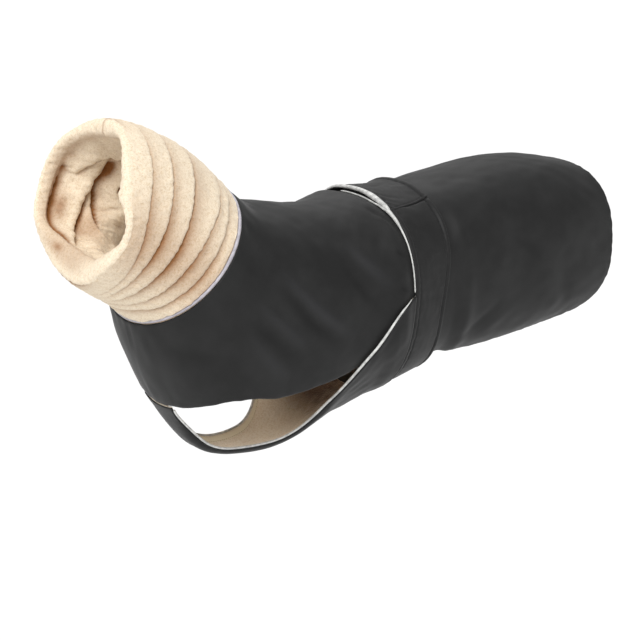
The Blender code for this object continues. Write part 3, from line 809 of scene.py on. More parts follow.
# painted shade: darker in the middle toward the belly, deeper under the coat, and in a line along the tape
chest_painted_shade = smooth_step(chest_row, 6.0, 12.0) * smooth_step(to_side, 0.002, 0.030)
chest_painted_shade = chest_painted_shade + 0.7 * bell(to_side, BINDING_WIDTH, 0.0010)
under_tape = PILE_PRESSED * (1 - smooth_step(to_side, BINDING_WIDTH, BINDING_WIDTH + 0.001))
turned_up = CHEST_TURN_UP * (1 - rounded(to_side, CHEST_TURN_UP_RADIUS))
chest_fleece = cloth_piece(
    "chest_panel_fleece",
    chest(chest_row, chest_across, turned_up - pile + under_tape),
    chest(chest_row, chest_across, np.minimum(CHEST_FLEECE_WALL, chest_top - UNDER_SHELL)),
    chest_fleece_painted_paler,
    chest_flat - chest_flat[:, -1:] / 2,
    chest_length,
    painted_shading=np.clip(chest_painted_shade, 0, 1),
)
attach(chest_fleece, "root")
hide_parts("chest_lining")


def woven_tape(name, code, dark_code, rib):
    """Narrow woven polyester tape: dull, with fine ribs across it."""
    made, tree, shader = finish_of(name, {"Roughness": 0.7, "IOR": 1.45, "Specular IOR Level": 0.3})
    where = add(tree, "ShaderNodeTexCoord", {})
    ribs = add(
        tree,
        "ShaderNodeTexWave",
        {"bands_direction": "Y", "Scale": wave_scale(rib), "Distortion": 0.8},
        [("Vector", where.outputs["UV"])],
    )
    tones = ((0.0, dark_code), (1.0, code))
    tone = add(tree, "ShaderNodeValToRGB", {}, [("Fac", ribs.outputs["Fac"])], tones)
    tree.links.new(tone.outputs["Color"], shader.inputs["Base Color"])
    bump = add(
        tree, "ShaderNodeBump", {"Strength": 0.4, "Distance": rib * 0.3}, [("Height", ribs.outputs["Fac"])]
    )
    tree.links.new(bump.outputs["Normal"], shader.inputs["Normal"])
    return made


binding_tape = woven_tape("Woven binding tape", code="#FBF5E2", dark_code="#EFE5CB", rib=0.0012)
TAPE_COLUMNS = 9
STITCHED_COLUMN = TAPE_COLUMNS - 2  # next to the tape's inner edge
tape_row, tape_part = np.meshgrid(
    np.linspace(*BINDING_ROWS, 285), np.linspace(0, 1, TAPE_COLUMNS), indexing="ij"
)
tape_half = np.interp(tape_row, chest_rows, chest_flat[:, -1] / 2)
binding_lines = []
tape_profile = TAPE_WALL * rounded(np.minimum(tape_part, 1 - tape_part) * BINDING_WIDTH, TAPE_RADIUS)
for side, side_name in ((1, "left"), (-1, "right")):
    from_edge = BINDING_INSET + tape_part * BINDING_WIDTH
    tape_across = side * (1 - from_edge / tape_half)
    tape_inner = chest(tape_row, tape_across, -BINDING_PROUD - tape_profile)
    tape = cloth_piece(
        "chest_binding_" + side_name,
        tape_inner,
        chest(tape_row, tape_across, BINDING_SUNK + 0 * tape_part),
        binding_tape,
        tape_part * BINDING_WIDTH,
        lengths_along(tape_inner, 0),
    )
    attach(tape, "root")
    binding_lines.append(tape_inner[2:-2, STITCHED_COLUMN])

# ==== The belly band ==============================================================================
# One long strip of the same shell, doubled, with a stitched channel behind its front edge. It is sewn
# to the chest panel under the belly, and the right wing laps over the left one on top of the back.

BAND_WALL = 0.0025
BAND_EDGE_WALL = 0.0008
BAND_EDGE_RADIUS = 0.0020
END_THINNING = 0.0010  # the upper wing thins toward its end
BAND_FRONT_FLARE = 0.0035  # the band is wider over the back
BAND_REAR_FLARE = 0.0125
UNDER_END = -14  # degrees along the band: from the left wing's end, under the belly, to the right wing's end
OVER_END = 387
END_SLANT = 4.5  # the upper wing's end reaches further at its front corner
LAP_START, LAP_FULL = 318, 342
LAP_PRESSED = 0.0017  # both wings are pressed flat at the upper one's end
CHANNEL = 0.0075  # the stitched channel's width
REAR_STITCH = 0.0062
END_STITCH = 0.0035
SEAM_SWELL = 0.0006  # the cloth swells between each edge and the stitching beside it
SEAM_WIDTH = 0.0011  # of the groove that the stitching sinks in
GATHERS = Relief(1.0, 0.0085, 43)  # their height is given for each line of stitching
GATHER_REACH = 0.006
BAND_BILLOWS = Relief(0.0004, 0.034, 41)
BAND_RIPPLES = Relief(0.00014, 0.011, 42)
BAND_LIP = 0.0032  # its rear edge curls up over the top of the back
LIP_UNDERSIDE = -0.3  # share of the lip that its inner face moves by, inwards
FRONT_FORWARD = 0.0085  # it runs further forward under the belly, and hangs a little off it there
REAR_FORWARD = 0.0090
BAND_SAG = 0.0045
BAND_CREASES = (
    Crease(0.285, 20, 0.322, 34, 0.0008, 0.004),
    Crease(0.283, 44, 0.316, 52, 0.0007, 0.004),
    Crease(0.290, 66, 0.330, 60, -0.0006, 0.005),
    Crease(0.282, 84, 0.312, 92, 0.0009, 0.004),
    Crease(0.300, 104, 0.326, 98, 0.0008, 0.005),
    Crease(0.281, 120, 0.310, 132, 0.0007, 0.004),
    Crease(0.284, 158, 0.314, 150, 0.0006, 0.004),
    Crease(0.282, 202, 0.312, 212, 0.0007, 0.004),
    Crease(0.286, 244, 0.322, 236, 0.0009, 0.004),
    Crease(0.284, 268, 0.318, 278, 0.0008, 0.004),
    Crease(0.288, 304, 0.330, 296, 0.0008, 0.005),
    Crease(0.284, 332, 0.326, 340, 0.0008, 0.004),
    Crease(0.290, 362, 0.332, 352, 0.0009, 0.005),
    Crease(0.286, 374, 0.318, 384, 0.0008, 0.004),
)


def band_edge(unrolled, across):
    """The band's `at`: across is 0 at its front edge and 1 at its rear edge."""
    upward = np.cos(np.radians(unrolled))
    from_belly = np.abs(180 - unrolled)
    front = BAND_FRONT + BAND_FRONT_FLARE * upward
    front = front - FRONT_FORWARD * (1 - np.minimum(1, from_belly / (180 - CHEST[-1].edge_turn)) ** 2)
    rear = BAND_REAR + BAND_REAR_FLARE * upward - REAR_FORWARD * smooth_step(from_belly, 118, 68)
    return front + (rear - front) * across


def band_height(unrolled):
    """How far the band's inner face is off the back's inner face."""
    lapped = (BAND_WALL + LAP_GAP) * smooth_step(unrolled, LAP_START, LAP_FULL)
    sag = BAND_SAG * under_belly(unrolled)
    return COAT_WALL + LAP_GAP + lapped + sag - LAP_PRESSED * smooth_step(unrolled, 364, 384)


def band_point(unrolled, across, out):
    """Points `out` metres outside the band's inner face."""
    return saddle(band_edge(unrolled, across), unrolled, band_height(unrolled) + out)


band_turn, band_across = np.meshgrid(
    spread((UNDER_END, UNDER_END + 3, 10), (UNDER_END + 3, OVER_END - 3, 480), (OVER_END - 3, OVER_END, 10)),
    0.5 + 0.5 * crowded(57, 1.3),
    indexing="ij",
)
band_turn = band_turn + END_SLANT * (1 - band_across) * smooth_step(band_turn, 360, OVER_END)
band_base = band_point(band_turn, band_across, BAND_WALL)
band_flat = lengths_along(band_base, 1)
band_run = lengths_along(band_base, 0)
behind_front = band_flat
before_rear = band_flat[:, -1:] - band_flat
to_end = np.minimum(band_run, band_run[-1:] - band_run)
to_band_edge = np.minimum(np.minimum(behind_front, before_rear), to_end)
band_relief = uneven(BAND_BILLOWS, band_run, band_flat) + uneven(BAND_RIPPLES, band_run, band_flat)
band_relief -= crease_sum(BAND_CREASES, band_edge(band_turn, band_across), band_turn)
taut = 1 - 0.6 * smooth_step(np.abs(180 - band_turn), 110, 60)
band_relief *= smooth_step(to_band_edge, 0.004, 0.016) * taut
for distance, sunk, gather in (
    (behind_front - CHANNEL, 0.0009, 0.00045),
    (before_rear - REAR_STITCH, 0.0012, 0.00025),
    (to_end - END_STITCH, 0.0003, 0.0),
):
    band_relief -= sunk * bell(distance, 0, SEAM_WIDTH)
    pulled = uneven(GATHERS, band_run, 0 * band_run) * np.exp(-np.abs(distance) / GATHER_REACH)
    band_relief += gather * pulled * smooth_step(to_band_edge, 0.0, 0.004)
channel_swell = SEAM_SWELL * np.sin(np.pi * np.clip(behind_front / CHANNEL, 0, 1))
rear_swell = SEAM_SWELL * np.sin(np.pi * np.clip(before_rear / REAR_STITCH, 0, 1))
band_wall = BAND_WALL - END_THINNING * smooth_step(band_turn, 368, 386)
band_wall -= LAP_PRESSED * smooth_step(band_turn, 4, 18) * (1 - smooth_step(band_turn, 27.5, 30))
edge_wall = BAND_EDGE_WALL - BAND_EDGE_WALL / 2 * smooth_step(band_turn, 380, 386)
band_top = edge_wall + (band_wall - edge_wall) * rounded(to_band_edge, BAND_EDGE_RADIUS)
over_back = smooth_step(np.cos(np.radians(band_turn)), 0.2, 0.95)
lip = BAND_LIP * over_back * (1 - smooth_step(before_rear, 0.0, 0.022))
band_seen = band_point(band_turn, band_across, band_top + band_relief + channel_swell + rear_swell + lip)
belly_band = cloth_piece(
    "belly_band_shell",
    band_seen,
    band_point(band_turn, band_across, LIP_UNDERSIDE * lip),
    shell_cloth,
    band_flat,
    band_run,
)
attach(belly_band, "root")
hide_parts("belly_band")

# ==== The piping ==================================================================================
# Cotton cord wrapped in bias-cut tape and caught in the seams: white with a faint glitter along the
# belly band's wings and the chest panel, grey in the seam where the snood joins the back.

NECK_PIPE_RADIUS = 0.0018
CORNER_GAP = 1.5  # degrees between the corner of the chest panel and the band's piping
BAND_CORD = Relief(0.05, 0.02, 51)  # the heights are shares of a cord's radius
CHEST_CORD = Relief(0.05, 0.02, 52)
NECK_CORD = Relief(0.06, 0.02, 53)
DEGREE = 0.002  # metres of cord in a degree of turn
CHEST_ROW = 0.01  # and in a row of the chest panel
START_TAPER, END_TAPER = 4, 1.2  # degrees over which a wing's piping comes to its tips
TIP = 0.02  # share of its cross-section that it keeps there
CORD_SIDES = 14
SIDE_WIDTH = 0.0009  # metres round a cord from one of its sides to the next
ASIDE = (0.37, 0.11, 0.92)  # a direction that no cord runs in
BIAS_SPACING = 0.0008  # the tape's threads, drawn coarser than they are
Swell = namedtuple("Swell", "turn radius forward lift")
UNDER_PIPE = (
    # along the left wing: thin and pushed forward below the upper wing, then thinning down the side
    Swell(-13, 0.0009, 0.0046, -0.0006),
    Swell(18, 0.0010, 0.0048, -0.0006),
    Swell(26, 0.0012, 0.0034, 0.0),
    Swell(31, 0.0026, -0.0004, 0.0010),
    Swell(37, 0.0020, -0.0004, 0.0006),
    Swell(45, 0.0012, 0.0, 0.0),
    Swell(54, 0.0008, 0.0, 0.0),
    Swell(90, 0.0008, 0.0, 0.0),
)
OVER_PIPE = (
    # along the right wing: it swells where that wing crosses the back
    Swell(278, 0.0008, 0.0, 0.0),
    Swell(318, 0.0009, 0.0, 0.0),
    Swell(345, 0.0021, -0.0006, 0.0010),
    Swell(362, 0.0025, -0.0010, 0.0014),
    Swell(378, 0.0033, -0.0014, 0.0014),
    Swell(386, 0.0030, -0.0010, 0.0010),
    Swell(392, 0.0024, -0.0004, 0.0002),
)
CHEST_PIPE = (
    # along each edge of the chest panel; its places are rows of that panel
    Swell(0, 0.0013, 0.0, 0.0),
    Swell(9, 0.0014, 0.0, 0.0),
    Swell(12, 0.0015, 0.0, 0.0),
    Swell(13.6, 0.0013, 0.0, 0.0),
    Swell(14.4, 0.0006, 0.0, 0.0),
    Swell(15, 0.0005, 0.0, 0.0),
)


def bias_tape(name, code, dark_code, rough, coat_weight):
    """Bias-cut polyester tape over a cord: a fine slanting weave, a little shiny where light grazes."""
    made, tree, shader = finish_of(
        name,
        {
            "Roughness": rough,
            "IOR": 1.5,
            "Specular IOR Level": 0.5,
            "Sheen Weight": 0.2,
            "Coat Weight": coat_weight,
            "Coat Roughness": 0.35,
        },
    )
    where = add(tree, "ShaderNodeTexCoord", {})
    slant = add(
        tree,
        "ShaderNodeMapping",
        {"Rotation": (0, 0, math.radians(38))},
        [("Vector", where.outputs["UV"])],
    )
    weave = add(
        tree,
        "ShaderNodeTexWave",
        {"Scale": wave_scale(BIAS_SPACING), "Distortion": 1.2},
        [("Vector", slant.outputs["Vector"])],
    )
    # darker marks of about 6 mm
    marks = add(
        tree, "ShaderNodeTexNoise", {"Scale": 160, "Detail": 3}, [("Vector", where.outputs["Object"])]
    )
    tones = ((0.38, dark_code), (0.6, code))
    tone = add(tree, "ShaderNodeValToRGB", {}, [("Fac", marks.outputs["Fac"])], tones)
    tree.links.new(tone.outputs["Color"], shader.inputs["Base Color"])
    bump = add(
        tree, "ShaderNodeBump", {"Strength": 0.35, "Distance": 0.0002}, [("Height", weave.outputs["Fac"])]
    )
    tree.links.new(bump.outputs["Normal"], shader.inputs["Normal"])
    return made


def cord(name, line, radii, finish, closed=False):
    """A cord along a line of points, with its own radius at each: rings of points, and capped ends."""
    along = np.roll(line, -1, 0) - np.roll(line, 1, 0) if closed else np.gradient(line, axis=0)
    along /= np.linalg.norm(along, axis=-1, keepdims=True)
    side = np.cross(along, ASIDE)
    side /= np.linalg.norm(side, axis=-1, keepdims=True)
    above = np.cross(side, along)
    angle = np.linspace(0, 2 * np.pi, CORD_SIDES + 1)[:-1]
    ring = side[:, None] * np.cos(angle)[:, None] + above[:, None] * np.sin(angle)[:, None]
    points = line[:, None] + ring * np.reshape(radii, (-1, 1, 1))
    count = len(line)
    i, j = np.meshgrid(np.arange(count if closed else count - 1), np.arange(CORD_SIDES), indexing="ij")
    round_face = [(i + a, j + b) for a, b in ((0, 0), (1, 0), (1, 1), (0, 1))]
    corners = [(ring_at % count) * CORD_SIDES + side_at % CORD_SIDES for ring_at, side_at in round_face]
    faces = np.stack(corners, -1).reshape(-1, 4).tolist()
    if not closed:
        first_of_last = (count - 1) * CORD_SIDES
        faces += [list(range(CORD_SIDES)), list(range(count * CORD_SIDES - 1, first_of_last - 1, -1))]
    mesh = bpy.data.meshes.new(name)
    mesh.from_pydata(points.reshape(-1, 3).tolist(), [], faces)
    run = np.append(0, np.cumsum(np.linalg.norm(np.diff(line, axis=0), axis=-1)))
    run = np.append(run, run[-1] + run[1])
    uv = [np.stack([run[ring_at], side_at * SIDE_WIDTH], -1) for ring_at, side_at in round_face]
    uv = np.stack(uv, 2).reshape(-1, 2)
    flat = np.zeros((len(mesh.loops), 2), np.float32)
    flat[: len(uv)] = uv
    uv_map = mesh.uv_layers.new(name="Tape")
    uv_map.data.foreach_set("uv", flat.ravel())
    return finished_piece(name, mesh, finish)


def beside(edge, inner, distance):
    """A line that runs `distance` outside the edge of a piece; `inner` is a line just inside the edge."""
    along = np.gradient(edge, axis=0)
    along /= np.linalg.norm(along, axis=-1, keepdims=True)
    away = edge - inner
    away -= along * np.sum(away * along, axis=-1, keepdims=True)
    away /= np.linalg.norm(away, axis=-1, keepdims=True)
    return edge + away * np.reshape(distance, (-1, 1))


def swell_at(table, places):
    """The radius, forward shift and lift of the piping at each place, eased between a table's rows."""
    knots = np.array(table)
    step = np.clip(np.searchsorted(knots[:, 0], places) - 1, 0, len(knots) - 2)
    part = smooth_step((places - knots[step, 0]) / (knots[step + 1, 0] - knots[step, 0]), 0, 1)
    return (knots[step] + (knots[step + 1] - knots[step]) * part[:, None])[:, 1:].T


def band_pipe(start, end, steps, table):
    """A line and radii for piping along the band's front edge, between two places on it."""
    places = np.linspace(start, end, steps)
    radius, forward, lift = swell_at(table, places)
    height = BAND_WALL * 0.5 + lift
    radii = radius * (1 + uneven(BAND_CORD, places * DEGREE, 0 * places))
    from_start = np.clip((places - UNDER_END) / START_TAPER, TIP, 1)
    radii *= np.sqrt(np.clip((end - places) / END_TAPER, TIP, 1) * from_start)
    edge = band_point(places, 0.0, height)
    return beside(edge, band_point(places, 0.1, height), radius + SEAM_GAP + forward), radii


white_tape = bias_tape("White glitter bias tape", "#CFCFCC", "#ABABA9", rough=0.38, coat_weight=0.25)
grey_tape = bias_tape("Grey bias tape", "#B9B5BC", "#A29EA6", rough=0.6, coat_weight=0.0)
corner_turn = CHEST[-1].edge_turn
left_pipe = band_pipe(UNDER_END + 1, corner_turn - CORNER_GAP, 220, UNDER_PIPE)
right_pipe = band_pipe(360 - corner_turn + CORNER_GAP, OVER_END + END_SLANT - 0.2, 260, OVER_PIPE)
pipes = [
    ("band_piping_left", *left_pipe, white_tape),
    ("band_piping_right", *right_pipe, white_tape),
]
pipe_rows = np.linspace(0, CHEST_END, 220)
half_way = (middle_wall + CHEST_SHELL_WALL) * 0.5
for side, name in ((1, "chest_piping_left"), (-1, "chest_piping_right")):
    edge = chest(pipe_rows, side + 0 * pipe_rows, half_way)
    radius = swell_at(CHEST_PIPE, pipe_rows)[0]
    line = beside(edge, chest(pipe_rows, side * 0.93 + 0 * pipe_rows, half_way), radius + SEAM_GAP)
    radii = radius * (1 + uneven(CHEST_CORD, pipe_rows * CHEST_ROW, 0 * pipe_rows))
    pipes.append((name, line[3:-6], radii[3:-6], white_tape))
for name, line, radii, finish in pipes:
    piping = cord(name + "_tape", line, radii, finish)
    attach(piping, "root")
    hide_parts(name)

neck_turn = np.linspace(-180, 180, 361)[:-1]
neck_line = saddle(0.0 * neck_turn, neck_turn, COAT_WALL * 0.5)
throat_fade = np.cos(np.radians(neck_turn / 2))
neck_radii = NECK_PIPE_RADIUS * (1 + uneven(NECK_CORD, neck_turn * DEGREE, 0 * neck_turn) * throat_fade)
neck_piping = cord("neck_piping_tape", neck_line, neck_radii, grey_tape, closed=True)
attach(neck_piping, "root")
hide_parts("neck_piping")

# ==== The snood ===================================================================================
# One tube of thick beige fleece, sewn into the neck seam at both ends. It slouches in ring gathers on
# the outside, rolls over at the mouth, and is turned back inside in large soft folds.

SNOOD = (
    # `at` here counts forward from the neck seam; the neck bends, so the throat side is the shorter
    Section(0.000, -0.275, -0.0205, 42, 0.100, 0.084, 0.084, 0.00, 0.00),
    Section(0.036, -0.304, 0.0045, 38, 0.097, 0.090, 0.083, 0.00, 0.00),
    Section(0.071, -0.335, 0.0265, 31, 0.093, 0.091, 0.083, 0.00, 0.00),
    Section(0.101, -0.361, 0.0415, 23, 0.089, 0.087, 0.082, 0.00, 0.00),
    Section(0.124, -0.383, 0.0505, 18, 0.084, 0.082, 0.080, 0.00, 0.00),
)
SNOOD_START = 0.0030  # it comes out of the neck seam this far in front of it
SNOOD_STAND = 0.0022
SNOOD_LENGTH = 0.112  # from the neck seam to the mouth
SNOOD_WALL = 0.0018
SNOOD_BULGE = 0.0030
SNOOD_RADIUS = 0.095  # of the plain tube that its flat cloth would make
SNOOD_SEAM = -4  # the turn of the seam that closes the tube
SNOOD_BILLOWS = Relief(0.0007, 0.030, 61)
SNOOD_PILE = Relief(0.00040, 0.009, 63)
ROLL_TAIL = 0.0020
ROLL_BEND = 0.94  # share of the roll that is bent; the rest is its straight tail
FACING_END = 0.0040  # the turned-in part ends this far in front of the neck seam
FACING_ARC = 0.075  # metres of the turned-in fleece for each radian of turn
FACING_BILLOWS = Relief(0.0008, 0.020, 62)
Ring = namedtuple("Ring", "nape left_up left left_low throat right_low right right_up")
Mouth = namedtuple("Mouth", "turn back forward flare inward")
MOUTH = (
    # the rolled edge: how far it is set back, stands forward, is flared and reaches in
    Mouth(-180, 0.0120, 0.0060, -0.0035, 0.0305),
    Mouth(-165, 0.0125, 0.0055, -0.0025, 0.0310),
    Mouth(-150, 0.0100, 0.0055, -0.0005, 0.0285),
    Mouth(-135, 0.0050, 0.0065, 0.0010, 0.0230),
    Mouth(-120, 0.0000, 0.0080, 0.0020, 0.0120),
    Mouth(-90, 0.0000, 0.0095, 0.0030, 0.0100),
    Mouth(-60, 0.0000, 0.0095, 0.0035, 0.0110),
    Mouth(-30, 0.0025, 0.0065, 0.0000, 0.0155),
    Mouth(0, 0.0035, 0.0060, -0.0015, 0.0180),
    Mouth(30, 0.0020, 0.0070, 0.0000, 0.0105),
    Mouth(50, 0.0000, 0.0085, 0.0000, 0.0150),
    Mouth(64, 0.0000, 0.0092, 0.0000, 0.0170),
    Mouth(76, 0.0000, 0.0095, 0.0000, 0.0200),
    Mouth(86, 0.0035, 0.0070, 0.0000, 0.0100),
    Mouth(95, 0.0070, 0.0055, 0.0000, 0.0100),
    Mouth(108, 0.0090, 0.0055, 0.0000, 0.0120),
    Mouth(122, 0.0065, 0.0065, 0.0000, 0.0180),
    Mouth(135, 0.0050, 0.0060, 0.0000, 0.0220),
    Mouth(148, 0.0070, 0.0055, -0.0005, 0.0250),
    Mouth(164, 0.0095, 0.0055, -0.0020, 0.0300),
    Mouth(180, 0.0120, 0.0060, -0.0035, 0.0305),
)
RING_PLACES = (
    # the troughs of the ring gathers, as a share of the length from the seam to the mouth
    Ring(0.14, 0.13, 0.14, 0.18, 0.30, 0.17, 0.13, 0.15),
    Ring(0.25, 0.22, 0.29, 0.32, 0.40, 0.30, 0.31, 0.27),
    Ring(0.48, 0.49, 0.48, 0.49, 0.50, 0.45, 0.47, 0.46),
    Ring(0.68, 0.68, 0.66, 0.65, 0.58, 0.60, 0.66, 0.65),
    Ring(0.85, 0.85, 0.84, 0.74, 0.64, 0.76, 0.83, 0.84),
)
RING_DEPTHS = (
    Ring(0.0008, 0.0022, 0.0040, 0.0046, 0.0034, 0.0042, 0.0036, 0.0020),
    Ring(0.0007, 0.0018, 0.0038, 0.0046, 0.0038, 0.0040, 0.0034, 0.0018),
    Ring(0.0008, 0.0026, 0.0052, 0.0054, 0.0042, 0.0048, 0.0046, 0.0026),
    Ring(0.0008, 0.0022, 0.0050, 0.0054, 0.0044, 0.0048, 0.0044, 0.0022),
    Ring(0.0007, 0.0018, 0.0036, 0.0052, 0.0046, 0.0046, 0.0034, 0.0018),
)
RING_LEAN = 0.0050  # how far the gathers droop back over their troughs
DROOP_AT = 0.13  # share of a rib where it droops most
LIP_PART = 0.16  # share of a rib that its lip takes
FALL = 0.50  # share of its depth that a rib loses before it tucks under the next one
SHORT_GATHERS = (
    Crease(0.19, 150, 0.09, 128, 0.0016, 0.0035),
    Crease(0.40, 34, 0.30, 58, 0.0012, 0.0035),
    Crease(0.58, 56, 0.56, 104, 0.0013, 0.0035),
    Crease(0.38, 84, 0.41, 128, 0.0014, 0.0035),
    Crease(0.76, 66, 0.75, 118, 0.0012, 0.0035),
    Crease(0.22, 70, 0.20, 112, 0.0010, 0.0032),
    Crease(0.57, -60, 0.56, -112, 0.0013, 0.0035),
    Crease(0.38, -80, 0.40, -132, 0.0014, 0.0035),
    Crease(0.75, -64, 0.74, -116, 0.0012, 0.0035),
    Crease(0.21, -72, 0.20, -118, 0.0010, 0.0032),
    Crease(0.42, -30, 0.30, -62, 0.0011, 0.0035),
)
Fold = namedtuple("Fold", "at turn height reach_at reach_turn lean")
FACING_FOLDS = (
    # soft folds of the turned-in part: where, how far they stand in, their half sizes and their slant
    Fold(0.05, -104, -0.007, 0.060, 34, 0.02),
    Fold(0.53, -112, 0.014, 0.14, 45, 0.22),
    Fold(0.70, -60, 0.016, 0.20, 40, 0.00),
    Fold(0.515, -70, 0.007, 0.065, 8, 0.00),
    Fold(0.568, -65, -0.007, 0.022, 3, 0.00),
    Fold(0.42, -57, -0.006, 0.040, 5, 0.00),
    Fold(0.74, -98, -0.002, 0.06, 4, 0.00),
    Fold(0.40, 75, 0.007, 0.20, 55, 0.05),
    Fold(0.58, 165, 0.013, 0.20, 45, 0.05),
)
Ledge = namedtuple("Ledge", "height soft steep groove line")
FACING_LEDGES = (
    # sharper folds, each along a line of (at, turn): soft on one side of it, steep and grooved on the other
    Ledge(
        0.0130,
        0.015,
        0.0030,
        0.0040,
        (
            *((0.28, -44), (0.34, -53), (0.375, -61), (0.365, -74), (0.335, -86)),
            *((0.345, -100), (0.34, -111), (0.31, -120), (0.25, -130), (0.12, -145)),
        ),
    ),
    Ledge(
        0.0080,
        0.015,
        0.0030,
        0.0035,
        (
            *((0.56, -36), (0.47, -40), (0.40, -43), (0.37, -46), (0.295, -48)),
            *((0.255, -51), (0.235, -58), (0.21, -64), (0.18, -70), (0.15, -76)),
        ),
    ),
    Ledge(
        0.0065,
        0.010,
        0.0025,
        0.0075,
        (
            *((0.34, -70), (0.36, -76), (0.42, -84), (0.45, -93), (0.48, -103)),
            *((0.53, -114), (0.59, -119), (0.67, -122), (0.80, -124), (0.93, -126)),
        ),
    ),
    Ledge(0.0018, 0.006, 0.0022, 0.0025, ((0.62, -77), (0.57, -82), (0.53, -88), (0.49, -93))),
    Ledge(
        0.0240,
        0.032,
        0.0030,
        0.0,
        ((0.93, -40), (0.955, -70), (0.965, -98), (0.955, -125), (0.93, -150)),
    ),
    Ledge(0.0035, 0.012, 0.0030, 0.0015, ((0.16, 150), (0.22, 120), (0.26, 90), (0.22, 60))),
    Ledge(0.0030, 0.012, 0.0030, 0.0015, ((0.40, 140), (0.46, 100), (0.42, 64))),
    Ledge(0.0030, 0.010, 0.0030, 0.0015, ((0.15, 214), (0.18, 196), (0.14, 178))),
)
GROOVE_WIDTH = 0.0022
FULL_SHADE = 0.0040  # a hollow between folds that is this deep takes all of the painted shade


def neck(at, turn):
    """Points on the snood's plain tube, before its gathers."""
    return ring_point(read(SNOOD, at), turn)


def turn_from(turn, middle):
    """Degrees round from `middle`, between -180 and 180."""
    return (turn - middle + 180) % 360 - 180


def round_the_neck(ring, turn):
    """A ring's value at each turn, on a smooth closed curve through its eight values."""
    values, steps = np.array(ring), np.asarray(turn) % 360 / 45
    low, t = np.floor(steps).astype(int), steps % 1
    before, here, after, later = (values[(low + k) % 8] for k in (-1, 0, 1, 2))
    bend = (after - before) * t + (2 * before - 5 * here + 4 * after - later) * t**2
    return here + (bend + (3 * here - before - 3 * after + later) * t**3) / 2


def axis_direction(at):
    """The snood's forward direction."""
    tilt = np.radians(read(SNOOD, at).tilt)
    return np.stack([-np.cos(tilt), np.zeros_like(tilt), np.sin(tilt)], axis=-1)


def tube_face(rib, turn):
    """The outside of the snood. `rib` counts the troughs from the seam (0) to the mouth's roll (6).

    Each rib rises steeply from the trough on its seam side, hangs back over it in a round lip, and
    falls gently toward the mouth until it tucks under the next one.
    """
    zero = 0 * turn
    mouth = read(MOUTH, turn)
    mouth_place = 1 - mouth.back / (SNOOD_LENGTH - SNOOD_START)
    places = np.stack([zero] + [round_the_neck(ring, turn) for ring in RING_PLACES] + [mouth_place])
    depths = np.stack([zero] + [round_the_neck(ring, turn) for ring in RING_DEPTHS] + [-mouth.flare])
    low = np.minimum(rib.astype(int), len(places) - 2)
    t = rib - low
    from_place, to_place = (np.take_along_axis(places, (low + k)[None], 0)[0] for k in (0, 1))
    from_depth, to_depth = (np.take_along_axis(depths, (low + k)[None], 0)[0] for k in (0, 1))
    along = from_place + (to_place - from_place) * t
    lip = 1 - (1 - np.clip(t / LIP_PART, 0, 1)) ** 2
    fall = FALL * smooth_step(t, 0.15, 1.0) + (1 - FALL) * smooth_step(t, 0.84, 1.0)
    depth = from_depth * (1 - lip) + to_depth * fall + crease_sum(SHORT_GATHERS, along, turn)
    deep_enough = np.minimum(from_depth / 0.004, 1.2)
    droop = RING_LEAN * deep_enough * (t / DROOP_AT) * np.exp(1 - t / DROOP_AT)
    at = SNOOD_START + (SNOOD_LENGTH - SNOOD_START) * along
    out = SNOOD_STAND - depth + uneven(SNOOD_BILLOWS, at, np.radians(turn) * ARC) * (1 - along)
    # it bulges behind the mouth on the right, clear of the folds inside
    bulge = smooth_step(along, 0.68, 0.86) * (1 - smooth_step(along, 0.95, 1.0))
    out = out + SNOOD_BULGE * bulge * bell(turn, -100, 26)
    face = neck(at, turn) - outward(neck, at, turn) * out[..., None]
    # painted shade: dark in the troughs and under the next rib's lip, and down both sides of the neck, which
    # face away from the light
    shade = bell(t, 0, 0.05) * from_depth + bell(t, 1, 0.10) * to_depth
    shade = shade / 0.0060 + 0.15 * smooth_step(t, 0.25, 1.0) * to_depth / 0.0010
    painted_side_shade = 0.42 * bell(turn, 102, 26) + 0.42 * bell(turn, -102, 26)
    painted_shading = np.clip(shade + painted_side_shade, 0, 1)
    return face - axis_direction(at) * droop[..., None], painted_shading


def roll_face(part, turn):
    """The mouth, rolled over in a flattened half circle and a short straight tail: 0 to 1."""
    mouth = read(MOUTH, turn)
    bend = np.pi * np.clip(part / ROLL_BEND, 0, 1)
    at = SNOOD_LENGTH - mouth.back - ROLL_TAIL * np.clip((part - ROLL_BEND) / (1 - ROLL_BEND), 0, 1)
    out = SNOOD_STAND + mouth.flare - mouth.inward / 2 * (1 - np.cos(bend))
    forward = axis_direction(at) * (mouth.forward * np.sin(bend))[..., None]
    return neck(at, turn) - outward(neck, at, turn) * out[..., None] + forward


def beyond_line(along, turn, line):
    """Metres from each place to a line on the facing, negative on its soft side, and the part run."""
    spots = np.array([(a * SNOOD_LENGTH, math.radians(t) * FACING_ARC) for a, t in line])
    middle = math.radians(np.mean([t for _, t in line]))
    round_neck = (np.radians(turn) - middle + np.pi) % (2 * np.pi) - np.pi + middle
    places = np.stack(np.broadcast_arrays(along * SNOOD_LENGTH, round_neck * FACING_ARC), -1)
    nearest = np.full(places.shape[:-1], np.inf)
    beyond, run_at = np.zeros_like(nearest), np.zeros_like(nearest)
    lengths = np.append(0, np.cumsum(np.linalg.norm(np.diff(spots, axis=0), axis=-1)))
    for start, end, run_before in zip(spots[:-1], spots[1:], lengths):
        run = end - start
        away, part, distance = beside_run(places, start, run)
        closer = distance < nearest - 1e-9
        side = np.sign(run[0] * away[..., 1] - run[1] * away[..., 0])
        nearest = np.where(closer, distance, nearest)
        beyond = np.where(closer, side * distance, beyond)
        run_at = np.where(closer, (run_before + part * np.linalg.norm(run)) / lengths[-1], run_at)
    return beyond, run_at


